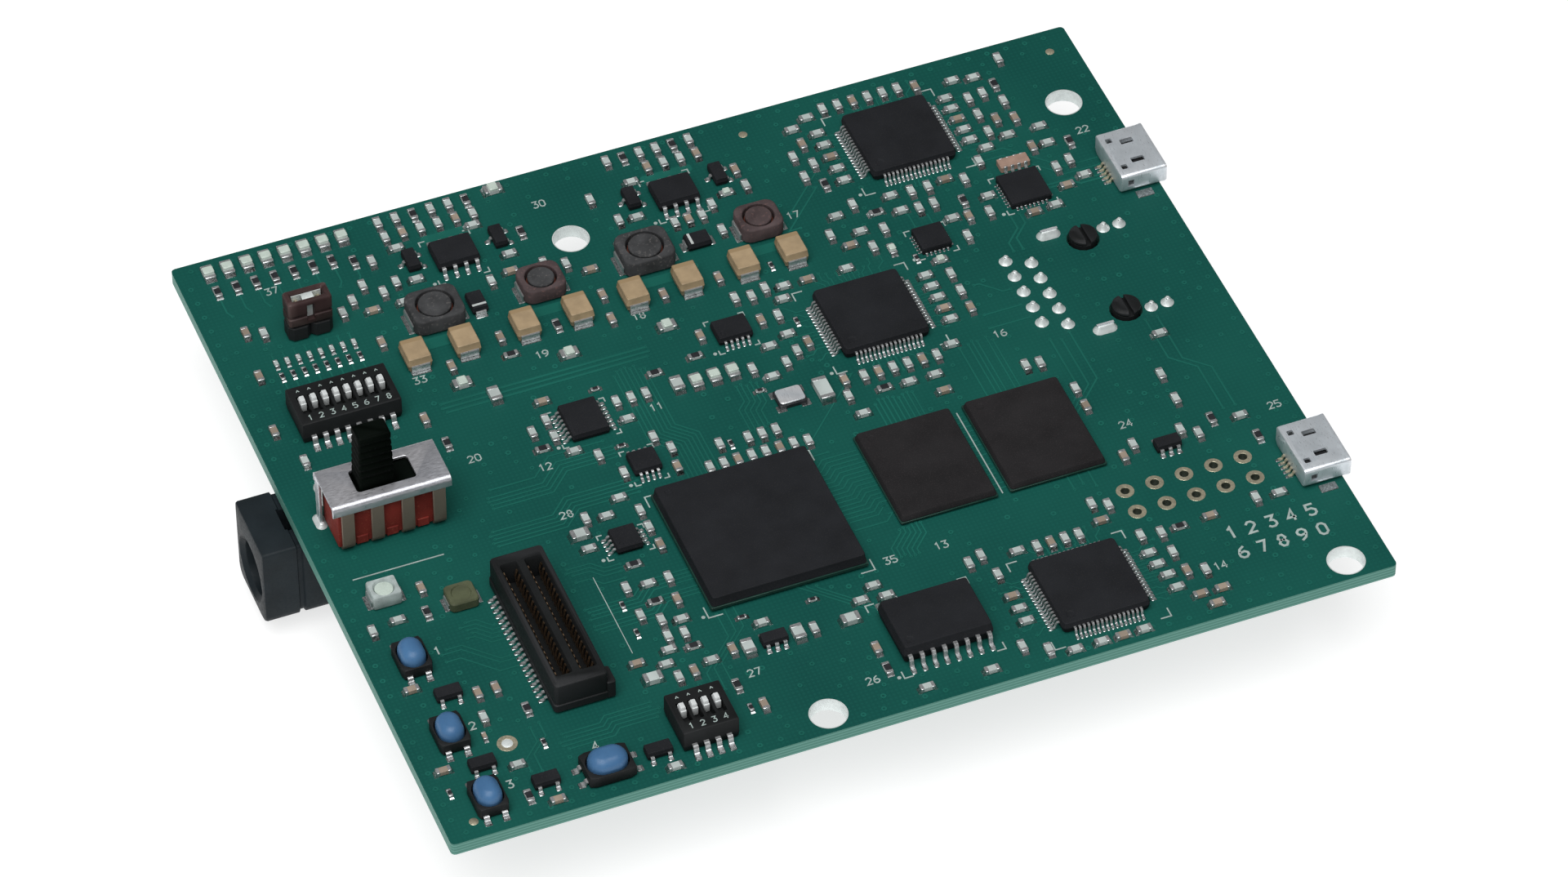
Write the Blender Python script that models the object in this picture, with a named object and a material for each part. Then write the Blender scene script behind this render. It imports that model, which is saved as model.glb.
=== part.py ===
"""Development board: printed circuit board with its chips, power parts, switches and connectors.

Frame: origin at the centre of the board's underside, +X along the long edge towards
the data connectors, +Y towards the rear edge, +Z up through the component side.
Lengths below are millimetres; meshes are written in metres.
"""
import bpy
import bmesh
import math
from mathutils import Matrix

for old in list(bpy.data.objects):
    bpy.data.objects.remove(old, do_unlink=True)

MM = 0.001

# ---------------------------------------------------------------- board
BOARD_L = 106.0
BOARD_W = 89.8
BOARD_T = 1.6
CORNER_R = 0.5
HOLE_D = 4.1
HOLE_XS = (42.4, 101.2)          # from the left edge
HOLE_YS = (2.6, 78.2)            # from the near edge
TOP = BOARD_T
SEAT = 0.15                      # solder gap under a surface-mounted part

# ---------------------------------------------------------------- chips (x, y of centre from the near left corner)
CPU_AT, CPU_S, CPU_H = (45.2, 29.1), 17.8, 1.95
MEM_AT = ((65.1, 31.3), (77.7, 31.4))
MEM_X, MEM_Y, MEM_H = 11.2, 13.7, 1.2
QFP_AT = {"qfp_rear": (81.6, 79.1), "qfp_mid": (68.3, 54.6), "qfp_front": (74.3, 8.7)}
QFP_S, QFP_H, QFP_BANK = 10.0, 1.5, 8.5
FLASH_AT, FLASH_X, FLASH_Y, FLASH_H = (57.3, 9.7), 10.2, 7.5, 2.4
REG_AT = {"regulator_left": (29.5, 80.2), "regulator_right": (55.3, 80.2)}
REG_X, REG_Y, REG_H = 4.9, 3.9, 1.5

# ---------------------------------------------------------------- power parts
COIL_AT = (((24.4, 72.2), 5.9, 5.1, 2.3), ((36.6, 72.0), 4.9, 4.4, 2.1),
           ((48.8, 72.2), 5.9, 5.1, 2.3), ((62.1, 72.1), 4.9, 4.4, 2.1))
TANT_XS = (20.2, 25.8, 32.8, 38.9, 45.4, 51.7, 58.3, 63.9)
TANT_Y, TANT_X_SIZE, TANT_Y_SIZE, TANT_H = 66.8, 2.8, 3.5, 1.95

# ---------------------------------------------------------------- power jack, under the left edge
JACK_Y = 51.5
JACK_FRONT = -4.3
JACK_LEN, JACK_W, JACK_H = 14.2, 9.0, 11.0
JACK_AXIS = 6.5                  # bore axis below the board's underside
JACK_BORE_D, JACK_BORE_DEPTH = 6.3, 9.6
JACK_PIN_D = 2.0
JACK_SPRING = 8.85               # sleeve spring's blade behind the front face

# ---------------------------------------------------------------- slide switch
SW_AT = (9.1, 45.7)
SW_X, SW_Y, SW_H = 13.3, 6.4, 7.0
SW_WALL = 0.35
SW_TRAVEL = 2.0
SW_PIN_DY, SW_LUG_DY = 0.0, 2.2     # terminals and lugs stand clear of the power jack below
SW_CRIMPS = (-5.0, -1.7, 1.7, 5.2)  # crimp legs along each long side
LEVER_X, LEVER_Y, LEVER_TOP = 4.0, 2.8, 14.2
LEVER_REST = -1.0                # lever sits at the left end of its travel

# ---------------------------------------------------------------- coding switches
DIP_PITCH = 1.27
DIP_Y, DIP_H = 5.9, 2.9
DIP8_AT, DIP4_AT = (10.4, 62.2), (29.6, 5.9)
DIP_TRAVEL = 1.2
DIP_SLOT_X, DIP_SLOT_Y = 0.94, 2.7
SLIDER_X, SLIDER_Y = 0.66, 1.2

# ---------------------------------------------------------------- connectors
USB_AT = {"usb_rear": (103.9, 65.8), "usb_front": (104.0, 17.3)}
USB_X, USB_Y, USB_H, USB_WALL = 5.4, 7.5, 2.6, 0.3
MEZZ_AT, MEZZ_X, MEZZ_Y, MEZZ_H = (19.1, 22.8), 6.1, 20.0, 4.1
ETH_Y = 51.5
ETH_X0, ETH_X1, ETH_W, ETH_H = 83.5, 106.2, 16.0, 13.4
ETH_WALL = 0.3
ETH_PIN_XS = (85.3, 87.84)
ETH_PEG_X, ETH_PEG_DY, ETH_PEG_D = 94.6, 5.9, 3.1
ETH_TAB_X, ETH_TAB_DY = 91.3, 7.85
ETH_LED_XS, ETH_LED_DY = (97.3, 99.2), 6.6
RING_X0, RING_DX, RING_YS = 83.6, 3.42, (17.25, 20.5)

# ---------------------------------------------------------------- push buttons and jumper
# name, centre, turned across the board, size against the common button
BUTTONS = (("button_1", (4.8, 25.2), False, 1.0), ("button_2", (4.9, 13.9), False, 1.0),
           ("button_3", (5.5, 4.2), False, 1.0), ("button_4", (18.4, 3.7), True, 1.17))
BTN_LONG, BTN_SHORT, BTN_H = 4.4, 3.4, 1.5
CAP_LONG, CAP_SHORT, CAP_TOP = 3.7, 2.7, 2.8
BTN_TRAVEL = 0.3
JUMPER_AT = (11.0, 75.4)
PIN_PITCH, PIN_SQ = 2.54, 0.64


def board_xy(p):
    """Board corner coordinates to the part's centred frame."""
    return p[0] - BOARD_L / 2, p[1] - BOARD_W / 2


# ---------------------------------------------------------------- geometry helpers
def box(bm, x0, x1, y0, y1, z0, z1):
    v = [bm.verts.new((x, y, z)) for z in (z0, z1)
         for x, y in ((x0, y0), (x1, y0), (x1, y1), (x0, y1))]
    for f in ((3, 2, 1, 0), (4, 5, 6, 7), (0, 1, 5, 4), (1, 2, 6, 5), (2, 3, 7, 6), (3, 0, 4, 7)):
        bm.faces.new([v[i] for i in f])


def loft(bm, rings):
    """Closed solid through rings of points, capped at both ends."""
    rows = [[bm.verts.new(p) for p in ring] for ring in rings]
    n = len(rows[0])
    for a, b in zip(rows, rows[1:]):
        for i in range(n):
            j = (i + 1) % n
            bm.faces.new((a[i], a[j], b[j], b[i]))
    bm.faces.new(list(reversed(rows[0])))
    bm.faces.new(rows[-1])


def prism(bm, pts, axis, a0, a1):
    """Extrudes a polygon along X (pts are y, z), Y (pts are x, z) or Z (pts are x, y)."""
    def place(p, a):
        if axis == "X":
            return a, p[0], p[1]
        if axis == "Y":
            return p[0], a, p[1]
        return p[0], p[1], a
    loft(bm, [[place(p, a0) for p in pts], [place(p, a1) for p in pts]])


def circle(cx, cy, r, n):
    return [(cx + r * math.cos(2 * math.pi * (i + 0.5) / n), cy + r * math.sin(2 * math.pi * (i + 0.5) / n))
            for i in range(n)]


def rounded(x0, x1, y0, y1, r, n):
    pts = []
    for cx, cy, start in ((x1 - r, y1 - r, 0), (x0 + r, y1 - r, 90), (x0 + r, y0 + r, 180), (x1 - r, y0 + r, 270)):
        for i in range(n + 1):
            t = math.radians(start + 90.0 * i / n)
            pts.append((cx + r * math.cos(t), cy + r * math.sin(t)))
    return pts


def cyl(bm, cx, cy, r, a0, a1, n, axis="Z"):
    prism(bm, circle(cx, cy, r, n), axis, a0, a1)


def stadium(a, b, n):
    """Rounded-end outline, a long (y) and b wide (x), centred."""
    r = b / 2
    h = a / 2 - r
    pts = []
    for i in range(n + 1):
        t = math.pi * i / n
        pts.append((r * math.cos(t), h + r * math.sin(t)))
    for i in range(n + 1):
        t = math.pi + math.pi * i / n
        pts.append((r * math.cos(t), -h + r * math.sin(t)))
    return pts


def mesh_from(name, bm):
    bmesh.ops.recalc_face_normals(bm, faces=bm.faces[:])
    bmesh.ops.transform(bm, matrix=Matrix.Scale(MM, 4), verts=bm.verts[:])
    me = bpy.data.meshes.new(name)
    bm.to_mesh(me)
    bm.free()
    return me


MATERIALS = {}


def material(name, colour, rough, metal):
    if name not in MATERIALS:
        m = bpy.data.materials.new(name)
        m.use_nodes = True
        b = m.node_tree.nodes["Principled BSDF"]
        b.inputs["Base Color"].default_value = (*colour, 1.0)
        b.inputs["Roughness"].default_value = rough
        b.inputs["Metallic"].default_value = metal
        MATERIALS[name] = m
    return MATERIALS[name]


GREEN = material("solder_mask", (0.01, 0.10, 0.08), 0.45, 0.0)
MOULD = material("chip_mould", (0.012, 0.012, 0.014), 0.55, 0.0)
BLACK = material("black_plastic", (0.015, 0.015, 0.017), 0.45, 0.0)
FERRITE = material("coil_shield", (0.06, 0.05, 0.05), 0.6, 0.1)
TAN = material("tantalum_case", (0.58, 0.42, 0.24), 0.5, 0.0)
PHENOLIC = material("red_phenolic", (0.26, 0.03, 0.015), 0.5, 0.0)
STEEL = material("tinned_steel", (0.62, 0.60, 0.64), 0.35, 1.0)
CONTACT = material("contact_metal", (0.80, 0.74, 0.62), 0.3, 1.0)
GOLD = material("gold_pin", (0.85, 0.62, 0.25), 0.3, 1.0)
WHITE = material("white_actuator", (0.85, 0.86, 0.86), 0.45, 0.0)
BLUE = material("blue_cap", (0.07, 0.19, 0.52), 0.35, 0.0)


def piece(name, bm, loc, mat, joins=(), cuts=(), smooth=False):
    """One sub-part: a base mesh, solids joined to it and solids cut from it."""
    ob = bpy.data.objects.new(name, mesh_from(name, bm))
    bpy.context.scene.collection.objects.link(ob)
    ob.location = [c * MM for c in loc]
    ob.data.materials.append(mat)
    for kind, solids in (("UNION", joins), ("DIFFERENCE", cuts)):
        for i, s in enumerate(solids):
            tool = bpy.data.objects.new("%s_%s_%d" % (name, kind.lower(), i), mesh_from(name, s))
            bpy.context.scene.collection.objects.link(tool)
            tool.location = ob.location
            tool.hide_render = True
            tool.display_type = "WIRE"
            mod = ob.modifiers.new("%s_%d" % (kind.lower(), i), "BOOLEAN")
            mod.operation = kind
            mod.solver = "EXACT"
            mod.object = tool
    if smooth:
        ob.data.shade_smooth()
        ob.data.set_sharp_from_angle(angle=math.radians(35))
    return ob


# ---------------------------------------------------------------- 1. the board
def make_board():
    bm = bmesh.new()
    prism(bm, rounded(-BOARD_L / 2, BOARD_L / 2, -BOARD_W / 2, BOARD_W / 2, CORNER_R, 3), "Z", 0, BOARD_T)
    cut = bmesh.new()

    def hole(x, y, d, n):
        cx, cy = board_xy((x, y))
        cyl(cut, cx, cy, d / 2, -1, BOARD_T + 1, n)

    def slot(x, y, sx, sy):
        cx, cy = board_xy((x, y))
        box(cut, cx - sx / 2, cx + sx / 2, cy - sy / 2, cy + sy / 2, -1, BOARD_T + 1)

    for x in HOLE_XS:
        for y in HOLE_YS:
            hole(x, y, HOLE_D, 24)
    for i in range(5):
        hole(ETH_PIN_XS[0], ETH_Y + 2.54 * (i - 2) + 0.635, 1.2, 8)
        hole(ETH_PIN_XS[1], ETH_Y + 2.54 * (i - 2) - 0.635, 1.2, 8)
        for y in RING_YS:
            hole(RING_X0 + RING_DX * i, y, 1.0, 8)
    for s in (-1, 1):
        hole(ETH_PEG_X, ETH_Y + s * ETH_PEG_DY, ETH_PEG_D + 0.6, 16)
        slot(ETH_TAB_X, ETH_Y + s * ETH_TAB_DY, 2.6, 0.9)
        for x in ETH_LED_XS:
            hole(x, ETH_Y + s * ETH_LED_DY, 1.2, 8)
    # power jack terminals: rear pin, sleeve spring
    slot(JACK_FRONT + JACK_LEN + 0.5, JACK_Y, 1.4, 3.4)
    slot(JACK_FRONT + JACK_SPRING, JACK_Y, 1.2, 3.2)
    # slide switch terminals and frame lugs
    for i in (-1, 0, 1):
        slot(SW_AT[0] + 3.0 * i, SW_AT[1] + SW_PIN_DY, 1.5, 1.0)
    for s in (-1, 1):
        slot(SW_AT[0] + s * (SW_X / 2 - SW_WALL / 2), SW_AT[1] + SW_LUG_DY, 1.0, 1.8)
    # jumper pins
    for s in (-1, 1):
        hole(JUMPER_AT[0] + s * PIN_PITCH / 2, JUMPER_AT[1], 1.4, 8)
    piece("pcb", bm, (0, 0, 0), GREEN, cuts=[cut])


# ---------------------------------------------------------------- 2. chips
def make_bga(name, at, sx, sy, h):
    x, y = board_xy(at)
    bm = bmesh.new()
    ring = lambda d, z: [(a * (sx / 2 - d), b * (sy / 2 - d), z) for a, b in ((-1, -1), (1, -1), (1, 1), (-1, 1))]
    loft(bm, [ring(0, 0.3), ring(0, 0.3 + 0.3 * h), ring(0.12, 0.3 + 0.36 * h), ring(0.25, h)])
    piece(name, bm, (x, y, TOP), MOULD)


def chip_body(bm, sx, sy, z0, h, draft):
    mid = (z0 + h) / 2
    ring = lambda d, z: [(a * (sx / 2 - d), b * (sy / 2 - d), z) for a, b in ((-1, -1), (1, -1), (1, 1), (-1, 1))]
    loft(bm, [ring(draft, z0), ring(0, mid), ring(draft, h)])


def wing(reach, mid, t):
    """Side view of a gull-wing lead from the case wall (u = 0) to its foot."""
    foot = 0.12
    return [(-0.35, mid + t / 2), (0.3 * reach, mid + t / 2), (0.55 * reach, foot + t), (reach, foot + t),
            (reach, foot), (0.42 * reach, foot), (0.18 * reach, mid - t / 2), (-0.35, mid - t / 2)]


def lead_bank(half, reach, mid, t, length, sides):
    """A row of leads taken together as one strip on each of the given sides."""
    bm = bmesh.new()
    prof = wing(reach, mid, t)
    for side in sides:
        if side == "+x":
            prism(bm, [(half + u, z) for u, z in prof], "Y", -length / 2, length / 2)
        elif side == "-x":
            prism(bm, [(-half - u, z) for u, z in prof], "Y", -length / 2, length / 2)
        elif side == "+y":
            prism(bm, [(half + u, z) for u, z in prof], "X", -length / 2, length / 2)
        else:
            prism(bm, [(-half - u, z) for u, z in prof], "X", -length / 2, length / 2)
    return bm


def make_chips():
    make_bga("processor", CPU_AT, CPU_S, CPU_S, CPU_H)
    make_bga("memory_left", MEM_AT[0], MEM_X, MEM_Y, MEM_H)
    make_bga("memory_right", MEM_AT[1], MEM_X, MEM_Y, MEM_H)
    for name, at in QFP_AT.items():
        x, y = board_xy(at)
        bm = bmesh.new()
        chip_body(bm, QFP_S, QFP_S, 0.2, QFP_H, 0.12)
        bank = lead_bank(QFP_S / 2, 1.0, 0.85, 0.18, QFP_BANK, ("+x", "-x", "+y", "-y"))
        piece(name, bm, (x, y, TOP), MOULD, joins=[bank])
    x, y = board_xy(FLASH_AT)
    bm = bmesh.new()
    chip_body(bm, FLASH_X, FLASH_Y, 0.2, FLASH_H, 0.18)
    piece("flash_memory", bm, (x, y, TOP), MOULD,
          joins=[lead_bank(FLASH_Y / 2, 1.4, 1.3, 0.26, 9.31, ("+y", "-y"))])
    for name, at in REG_AT.items():
        x, y = board_xy(at)
        bm = bmesh.new()
        chip_body(bm, REG_X, REG_Y, 0.2, REG_H, 0.12)
        piece(name, bm, (x, y, TOP), MOULD,
              joins=[lead_bank(REG_Y / 2, 1.05, 0.85, 0.2, 4.23, ("+y", "-y"))])


# ---------------------------------------------------------------- 3. power parts
def make_power_parts():
    for i, (at, sx, sy, h) in enumerate(COIL_AT):
        x, y = board_xy(at)
        c = 0.55
        ring = lambda d, z: [(px, py, z) for px, py in (
            (-sx / 2 + d + c, -sy / 2 + d), (sx / 2 - d - c, -sy / 2 + d), (sx / 2 - d, -sy / 2 + d + c),
            (sx / 2 - d, sy / 2 - d - c), (sx / 2 - d - c, sy / 2 - d), (-sx / 2 + d + c, sy / 2 - d),
            (-sx / 2 + d, sy / 2 - d - c), (-sx / 2 + d, -sy / 2 + d + c))]
        bm = bmesh.new()
        loft(bm, [ring(0.0, 0.3), ring(0.0, h - 0.2), ring(0.2, h)])
        clips = bmesh.new()
        for s in (-1, 1):
            a, b = sorted((s * (sx / 2 + 0.22), s * (sx / 2 - 1.0)))
            box(clips, a, b, -sy * 0.28, sy * 0.28, SEAT, 0.9)
        piece("inductor_%d" % (i + 1), bm, (x, y, TOP), FERRITE, joins=[clips])
    for i, tx in enumerate(TANT_XS):
        x, y = board_xy((tx, TANT_Y))
        bm = bmesh.new()
        chip_body(bm, TANT_X_SIZE, TANT_Y_SIZE, 0.3, TANT_H, 0.1)
        ends = bmesh.new()
        for s in (-1, 1):
            a, b = sorted((s * (TANT_Y_SIZE / 2 + 0.12), s * (TANT_Y_SIZE / 2 - 0.8)))
            box(ends, -1.1, 1.1, a, b, SEAT, 1.0)
        piece("tantalum_%d" % (i + 1), bm, (x, y, TOP), TAN, joins=[ends])


# ---------------------------------------------------------------- 4. power jack under the board
def make_jack():
    x, y = board_xy((JACK_FRONT, JACK_Y))
    zt = -0.3
    zb = -JACK_H - 0.1
    ax = -JACK_AXIS
    r = 1.2
    hw = JACK_W / 2
    prof = [(hw, zt), (-hw, zt)]
    for i in range(5):
        t = math.radians(180 + 90 * i / 4)
        prof.append((-hw + r + r * math.cos(t), zb + r + r * math.sin(t)))
    for i in range(5):
        t = math.radians(270 + 90 * i / 4)
        prof.append((hw - r + r * math.cos(t), zb + r + r * math.sin(t)))
    bm = bmesh.new()
    prism(bm, prof, "X", 0, JACK_LEN)
    cut = bmesh.new()
    cyl(cut, 0, ax, JACK_BORE_D / 2, -1, JACK_BORE_DEPTH, 24, "X")
    # clearance hole for the centre pin through the rear wall
    rear = bmesh.new()
    cyl(rear, 0, ax, JACK_PIN_D / 2 + 0.3, JACK_BORE_DEPTH - 1, JACK_LEN + 1, 16, "X")
    # slot for the sleeve spring between the bore and the board side
    slot = bmesh.new()
    box(slot, 3.6, JACK_SPRING + 0.55, -1.6, 1.6, ax + 1.0, 1.0)
    piece("jack_housing", bm, (x, y, 0), BLACK, cuts=[cut, rear, slot], smooth=True)
    # centre pin: round pin, flange and rear terminal blade
    pin = bmesh.new()
    prof2 = [(1.6, 0.35), (1.9, 0.8), (2.3, JACK_PIN_D / 2), (JACK_LEN + 0.35, JACK_PIN_D / 2)]
    rings = [[(u, rr * math.cos(2 * math.pi * (k + 0.5) / 16), ax + rr * math.sin(2 * math.pi * (k + 0.5) / 16))
              for k in range(16)] for u, rr in prof2]
    loft(pin, rings)
    blade = bmesh.new()
    box(blade, JACK_LEN + 0.1, JACK_LEN + 0.9, -1.4, 1.4, ax - 1.6, BOARD_T + 1.0)
    piece("jack_pin", pin, (x, y, 0), CONTACT, joins=[blade], smooth=True)
    # sleeve spring: blade through the board and a leaf leaning into the bore
    leaf = bmesh.new()
    b0, b1 = JACK_SPRING - 0.25, JACK_SPRING + 0.25
    prism(leaf, [(b1, BOARD_T + 1.0), (b0, BOARD_T + 1.0), (b0, ax + 3.4), (4.6, ax + 2.5), (3.9, ax + 2.9),
                 (3.9, ax + 2.5), (4.5, ax + 2.1), (b1, ax + 3.1)], "Y", -1.3, 1.3)
    piece("jack_spring", leaf, (x, y, 0), CONTACT)


# ---------------------------------------------------------------- 5. slide switch
def make_slide_switch():
    x, y = board_xy(SW_AT)
    hx, hy = SW_X / 2, SW_Y / 2
    w = SW_WALL
    # phenolic base with a well for the slider and three terminals through the board
    bm = bmesh.new()
    box(bm, -hx + w + 0.3, hx - w - 0.3, -hy + w + 0.25, hy - w - 0.25, 0.5, SW_H - w - 0.85)
    legs = bmesh.new()
    for i in (-1, 0, 1):
        box(legs, 3.0 * i - 0.4, 3.0 * i + 0.4, SW_PIN_DY - 0.2, SW_PIN_DY + 0.2, -BOARD_T - 1.2, 0.8)
    well = bmesh.new()
    box(well, -4.6, 4.6, -1.9, 1.9, 2.2, SW_H)
    piece("switch_base", bm, (x, y, TOP), PHENOLIC, joins=[legs], cuts=[well])
    # folded frame: top plate, side walls, crimp legs and two end lugs that end inside the board
    fr = bmesh.new()
    box(fr, -hx, hx, -hy, hy, SW_H - w, SW_H)
    walls = bmesh.new()
    crimps = bmesh.new()
    for s in (-1, 1):
        a, b = sorted((s * hy, s * (hy - w)))
        box(walls, -hx, hx, a, b, SW_H - 1.3, SW_H - 0.1)
        for cx in SW_CRIMPS:
            box(crimps, cx - 0.7, cx + 0.7, a, b, 0.5, SW_H - 1.0)
        a, b = sorted((s * hx, s * (hx - w)))
        box(walls, a, b, SW_LUG_DY - 0.6, SW_LUG_DY + 0.6, -BOARD_T + 0.2, SW_H - 0.1)
    slot = bmesh.new()
    box(slot, -LEVER_X / 2 - SW_TRAVEL / 2 - 0.3, LEVER_X / 2 + SW_TRAVEL / 2 + 0.3,
        -LEVER_Y / 2 - 0.25, LEVER_Y / 2 + 0.25, SW_H - 1, SW_H + 1)
    piece("switch_frame", fr, (x, y, TOP), STEEL, joins=[walls, crimps], cuts=[slot])
    # lever: slider foot inside the well, dust flange under the plate and a tapered stem through the slot
    lv = bmesh.new()
    box(lv, -2.7, 2.7, -1.65, 1.65, 2.9, SW_H - w - 0.4)
    flange = bmesh.new()
    box(flange, -4.65, 4.65, -2.4, 2.4, SW_H - w - 0.55, SW_H - w - 0.25)
    stem = bmesh.new()
    lx, ly = LEVER_X / 2, LEVER_Y / 2
    ring = lambda d, z: [(a * (lx - d), b * (ly - d), z) for a, b in ((-1, -1), (1, -1), (1, 1), (-1, 1))]
    loft(stem, [ring(0, 3.4), ring(0, SW_H + 0.5), ring(0.12, LEVER_TOP - 0.35), ring(0.45, LEVER_TOP)])
    piece("switch_lever", lv, (x + LEVER_REST, y, TOP), BLACK, joins=[flange, stem])
    # wiper blade that bridges two terminals, carried under the lever
    wp = bmesh.new()
    prism(wp, [(-2.4, 2.75), (-2.0, 2.35), (-1.4, 2.75), (1.4, 2.75), (2.0, 2.35), (2.4, 2.75),
               (2.4, 2.85), (-2.4, 2.85)], "Y", -1.2, 1.2)
    piece("switch_wiper", wp, (x + LEVER_REST, y, TOP), CONTACT)


# ---------------------------------------------------------------- 6. coding switches
def make_dip(name, at, ways):
    x, y = board_xy(at)
    sx = DIP_PITCH * ways + 1.1
    bm = bmesh.new()
    ring = lambda d, z: [(a * (sx / 2 - d), b * (DIP_Y / 2 - d), z) for a, b in ((-1, -1), (1, -1), (1, 1), (-1, 1))]
    loft(bm, [ring(0.1, 0.25), ring(0, 0.9), ring(0, DIP_H - 0.15), ring(0.15, DIP_H)])
    bank = lead_bank(DIP_Y / 2, 1.3, 1.0, 0.24, DIP_PITCH * (ways - 1) + 0.5, ("+y", "-y"))
    slots = bmesh.new()
    for i in range(ways):
        cx = DIP_PITCH * (i - (ways - 1) / 2)
        box(slots, cx - DIP_SLOT_X / 2, cx + DIP_SLOT_X / 2, -DIP_SLOT_Y / 2, DIP_SLOT_Y / 2, DIP_H - 1.2, DIP_H + 1)
    piece(name + "_body", bm, (x, y, TOP), BLACK, joins=[bank], cuts=[slots])
    ry = DIP_SLOT_Y / 2 - 0.13 - SLIDER_Y / 2
    for i in range(ways):
        cx = DIP_PITCH * (i - (ways - 1) / 2)
        s = bmesh.new()
        r = lambda d, z: [(a * (SLIDER_X / 2 - d), b * (SLIDER_Y / 2 - d), z) for a, b in ((-1, -1), (1, -1), (1, 1), (-1, 1))]
        loft(s, [r(0, DIP_H - 1.05), r(0, DIP_H + 0.2), r(0.1, DIP_H + 0.4)])
        piece("%s_slider_%d" % (name, i + 1), s, (x + cx, y + ry, TOP), WHITE)


# ---------------------------------------------------------------- 7. connectors on the component side
def make_usb(name, at):
    x, y = board_xy(at)
    hx, hy, w = USB_X / 2, USB_Y / 2, USB_WALL
    z0, z1 = SEAT, SEAT + USB_H
    c = 0.55

    def outline(d, flare):
        a = hy - d + flare
        lo, hi = z0 + d - flare, z1 - d + flare
        return [(-a + c, lo), (a - c, lo), (a, lo + c), (a, hi - 0.3), (a - 0.3, hi), (-a + 0.3, hi), (-a, hi - 0.3), (-a, lo + c)]
    bm = bmesh.new()
    loft(bm, [[(u, p[0], p[1]) for p in outline(0, f)] for u, f in
              ((-hx, 0), (hx - 0.5, 0), (hx, 0.12))])
    ears = bmesh.new()
    for s in (-1, 1):
        a, b = sorted((s * (hy - 0.75), s * (hy + 0.7)))
        box(ears, -0.9, 0.7, a, b, z0, z0 + 0.35)
    mouth = bmesh.new()
    loft(mouth, [[(u, p[0], p[1]) for p in outline(w, f)] for u, f in
                 ((-hx + w, 0), (hx - 0.5, 0), (hx + 0.4, 0.2))])
    piece(name + "_shell", bm, (x, y, TOP), STEEL, joins=[ears], cuts=[mouth])
    tg = bmesh.new()
    box(tg, -hx + w + 0.2, -hx + w + 1.6, -hy + 1.2, hy - 1.2, z0 + w + 0.25, z1 - w - 0.2)
    tn = bmesh.new()
    box(tn, -hx + w + 1.2, hx - 0.8, -hy + 1.7, hy - 1.7, z0 + w + 1.05, z1 - w - 0.35)
    piece(name + "_tongue", tg, (x, y, TOP), BLACK, joins=[tn])


def make_mezzanine():
    x, y = board_xy(MEZZ_AT)
    hx, hy = MEZZ_X / 2, MEZZ_Y / 2
    bm = bmesh.new()
    ring = lambda d, z: [(a * (hx - d), b * (hy - d), z) for a, b in ((-1, -1), (1, -1), (1, 1), (-1, 1))]
    loft(bm, [ring(0, 0.25), ring(0, MEZZ_H - 0.2), ring(0.2, MEZZ_H)])
    cut = bmesh.new()
    for s in (-1, 1):
        a, b = sorted((s * 0.55, s * 2.15))
        box(cut, a, b, -hy + 1.7, hy - 1.7, 1.1, MEZZ_H + 1)
    key = bmesh.new()
    box(key, hx - 0.2, hx + 0.7, -hy, -hy + 2.4, 0.25, 2.6)
    piece("mezzanine_socket", bm, (x, y, TOP), BLACK, joins=[key], cuts=[cut])


# ---------------------------------------------------------------- 8. network jack under the right edge
def make_network_jack():
    x0, y = board_xy((ETH_X0, ETH_Y))
    ln = ETH_X1 - ETH_X0
    hw = ETH_W / 2
    zt, zb = -0.3, -ETH_H - 0.3
    w = ETH_WALL
    bm = bmesh.new()
    box(bm, 0, ln, -hw, hw, zb, zt)
    tabs = bmesh.new()
    tx = ETH_TAB_X - ETH_X0
    for s in (-1, 1):
        a, b = sorted((s * (hw - 0.02), s * (hw - w)))
        box(tabs, tx - 1.0, tx + 1.0, a, b, -2.0, BOARD_T + 0.9)
    hollow = bmesh.new()
    box(hollow, w, ln + 1, -hw + w, hw - w, zb + w, 1.0)
    # the tabs stand on the side walls, clear of the hollow
    piece("network_shell", bm, (x0, y, 0), STEEL, joins=[tabs], cuts=[hollow])
    g = 0.25
    ib = bmesh.new()
    box(ib, w + g, ln - 0.15, -hw + w + g, hw - w - g, zb + w + g, zt - 0.1)
    posts = bmesh.new()
    for s in (-1, 1):
        cyl(posts, ETH_PEG_X - ETH_X0, s * ETH_PEG_DY, ETH_PEG_D / 2, -1.5, BOARD_T + 0.3, 16)
        for px in ETH_LED_XS:
            box(posts, px - ETH_X0 - 0.22, px - ETH_X0 + 0.22, s * ETH_LED_DY - 0.22, s * ETH_LED_DY + 0.22, -1.5, BOARD_T + 0.8)
    for i in range(5):
        for px, off in ((ETH_PIN_XS[0], 0.635), (ETH_PIN_XS[1], -0.635)):
            cy = 2.54 * (i - 2) + off
            box(posts, px - ETH_X0 - 0.22, px - ETH_X0 + 0.22, cy - 0.22, cy + 0.22, -1.5, BOARD_T + 0.8)
    mouth = bmesh.new()
    box(mouth, ln - 13.2, ln + 1, -5.9, 5.9, zb + 2.7, -3.2)
    latch = bmesh.new()
    box(latch, ln - 10.5, ln + 1, -3.1, 3.1, zb + 1.3, zb + 3.0)
    piece("network_insert", ib, (x0, y, 0), BLACK, joins=[posts], cuts=[mouth, latch], smooth=True)


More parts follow.
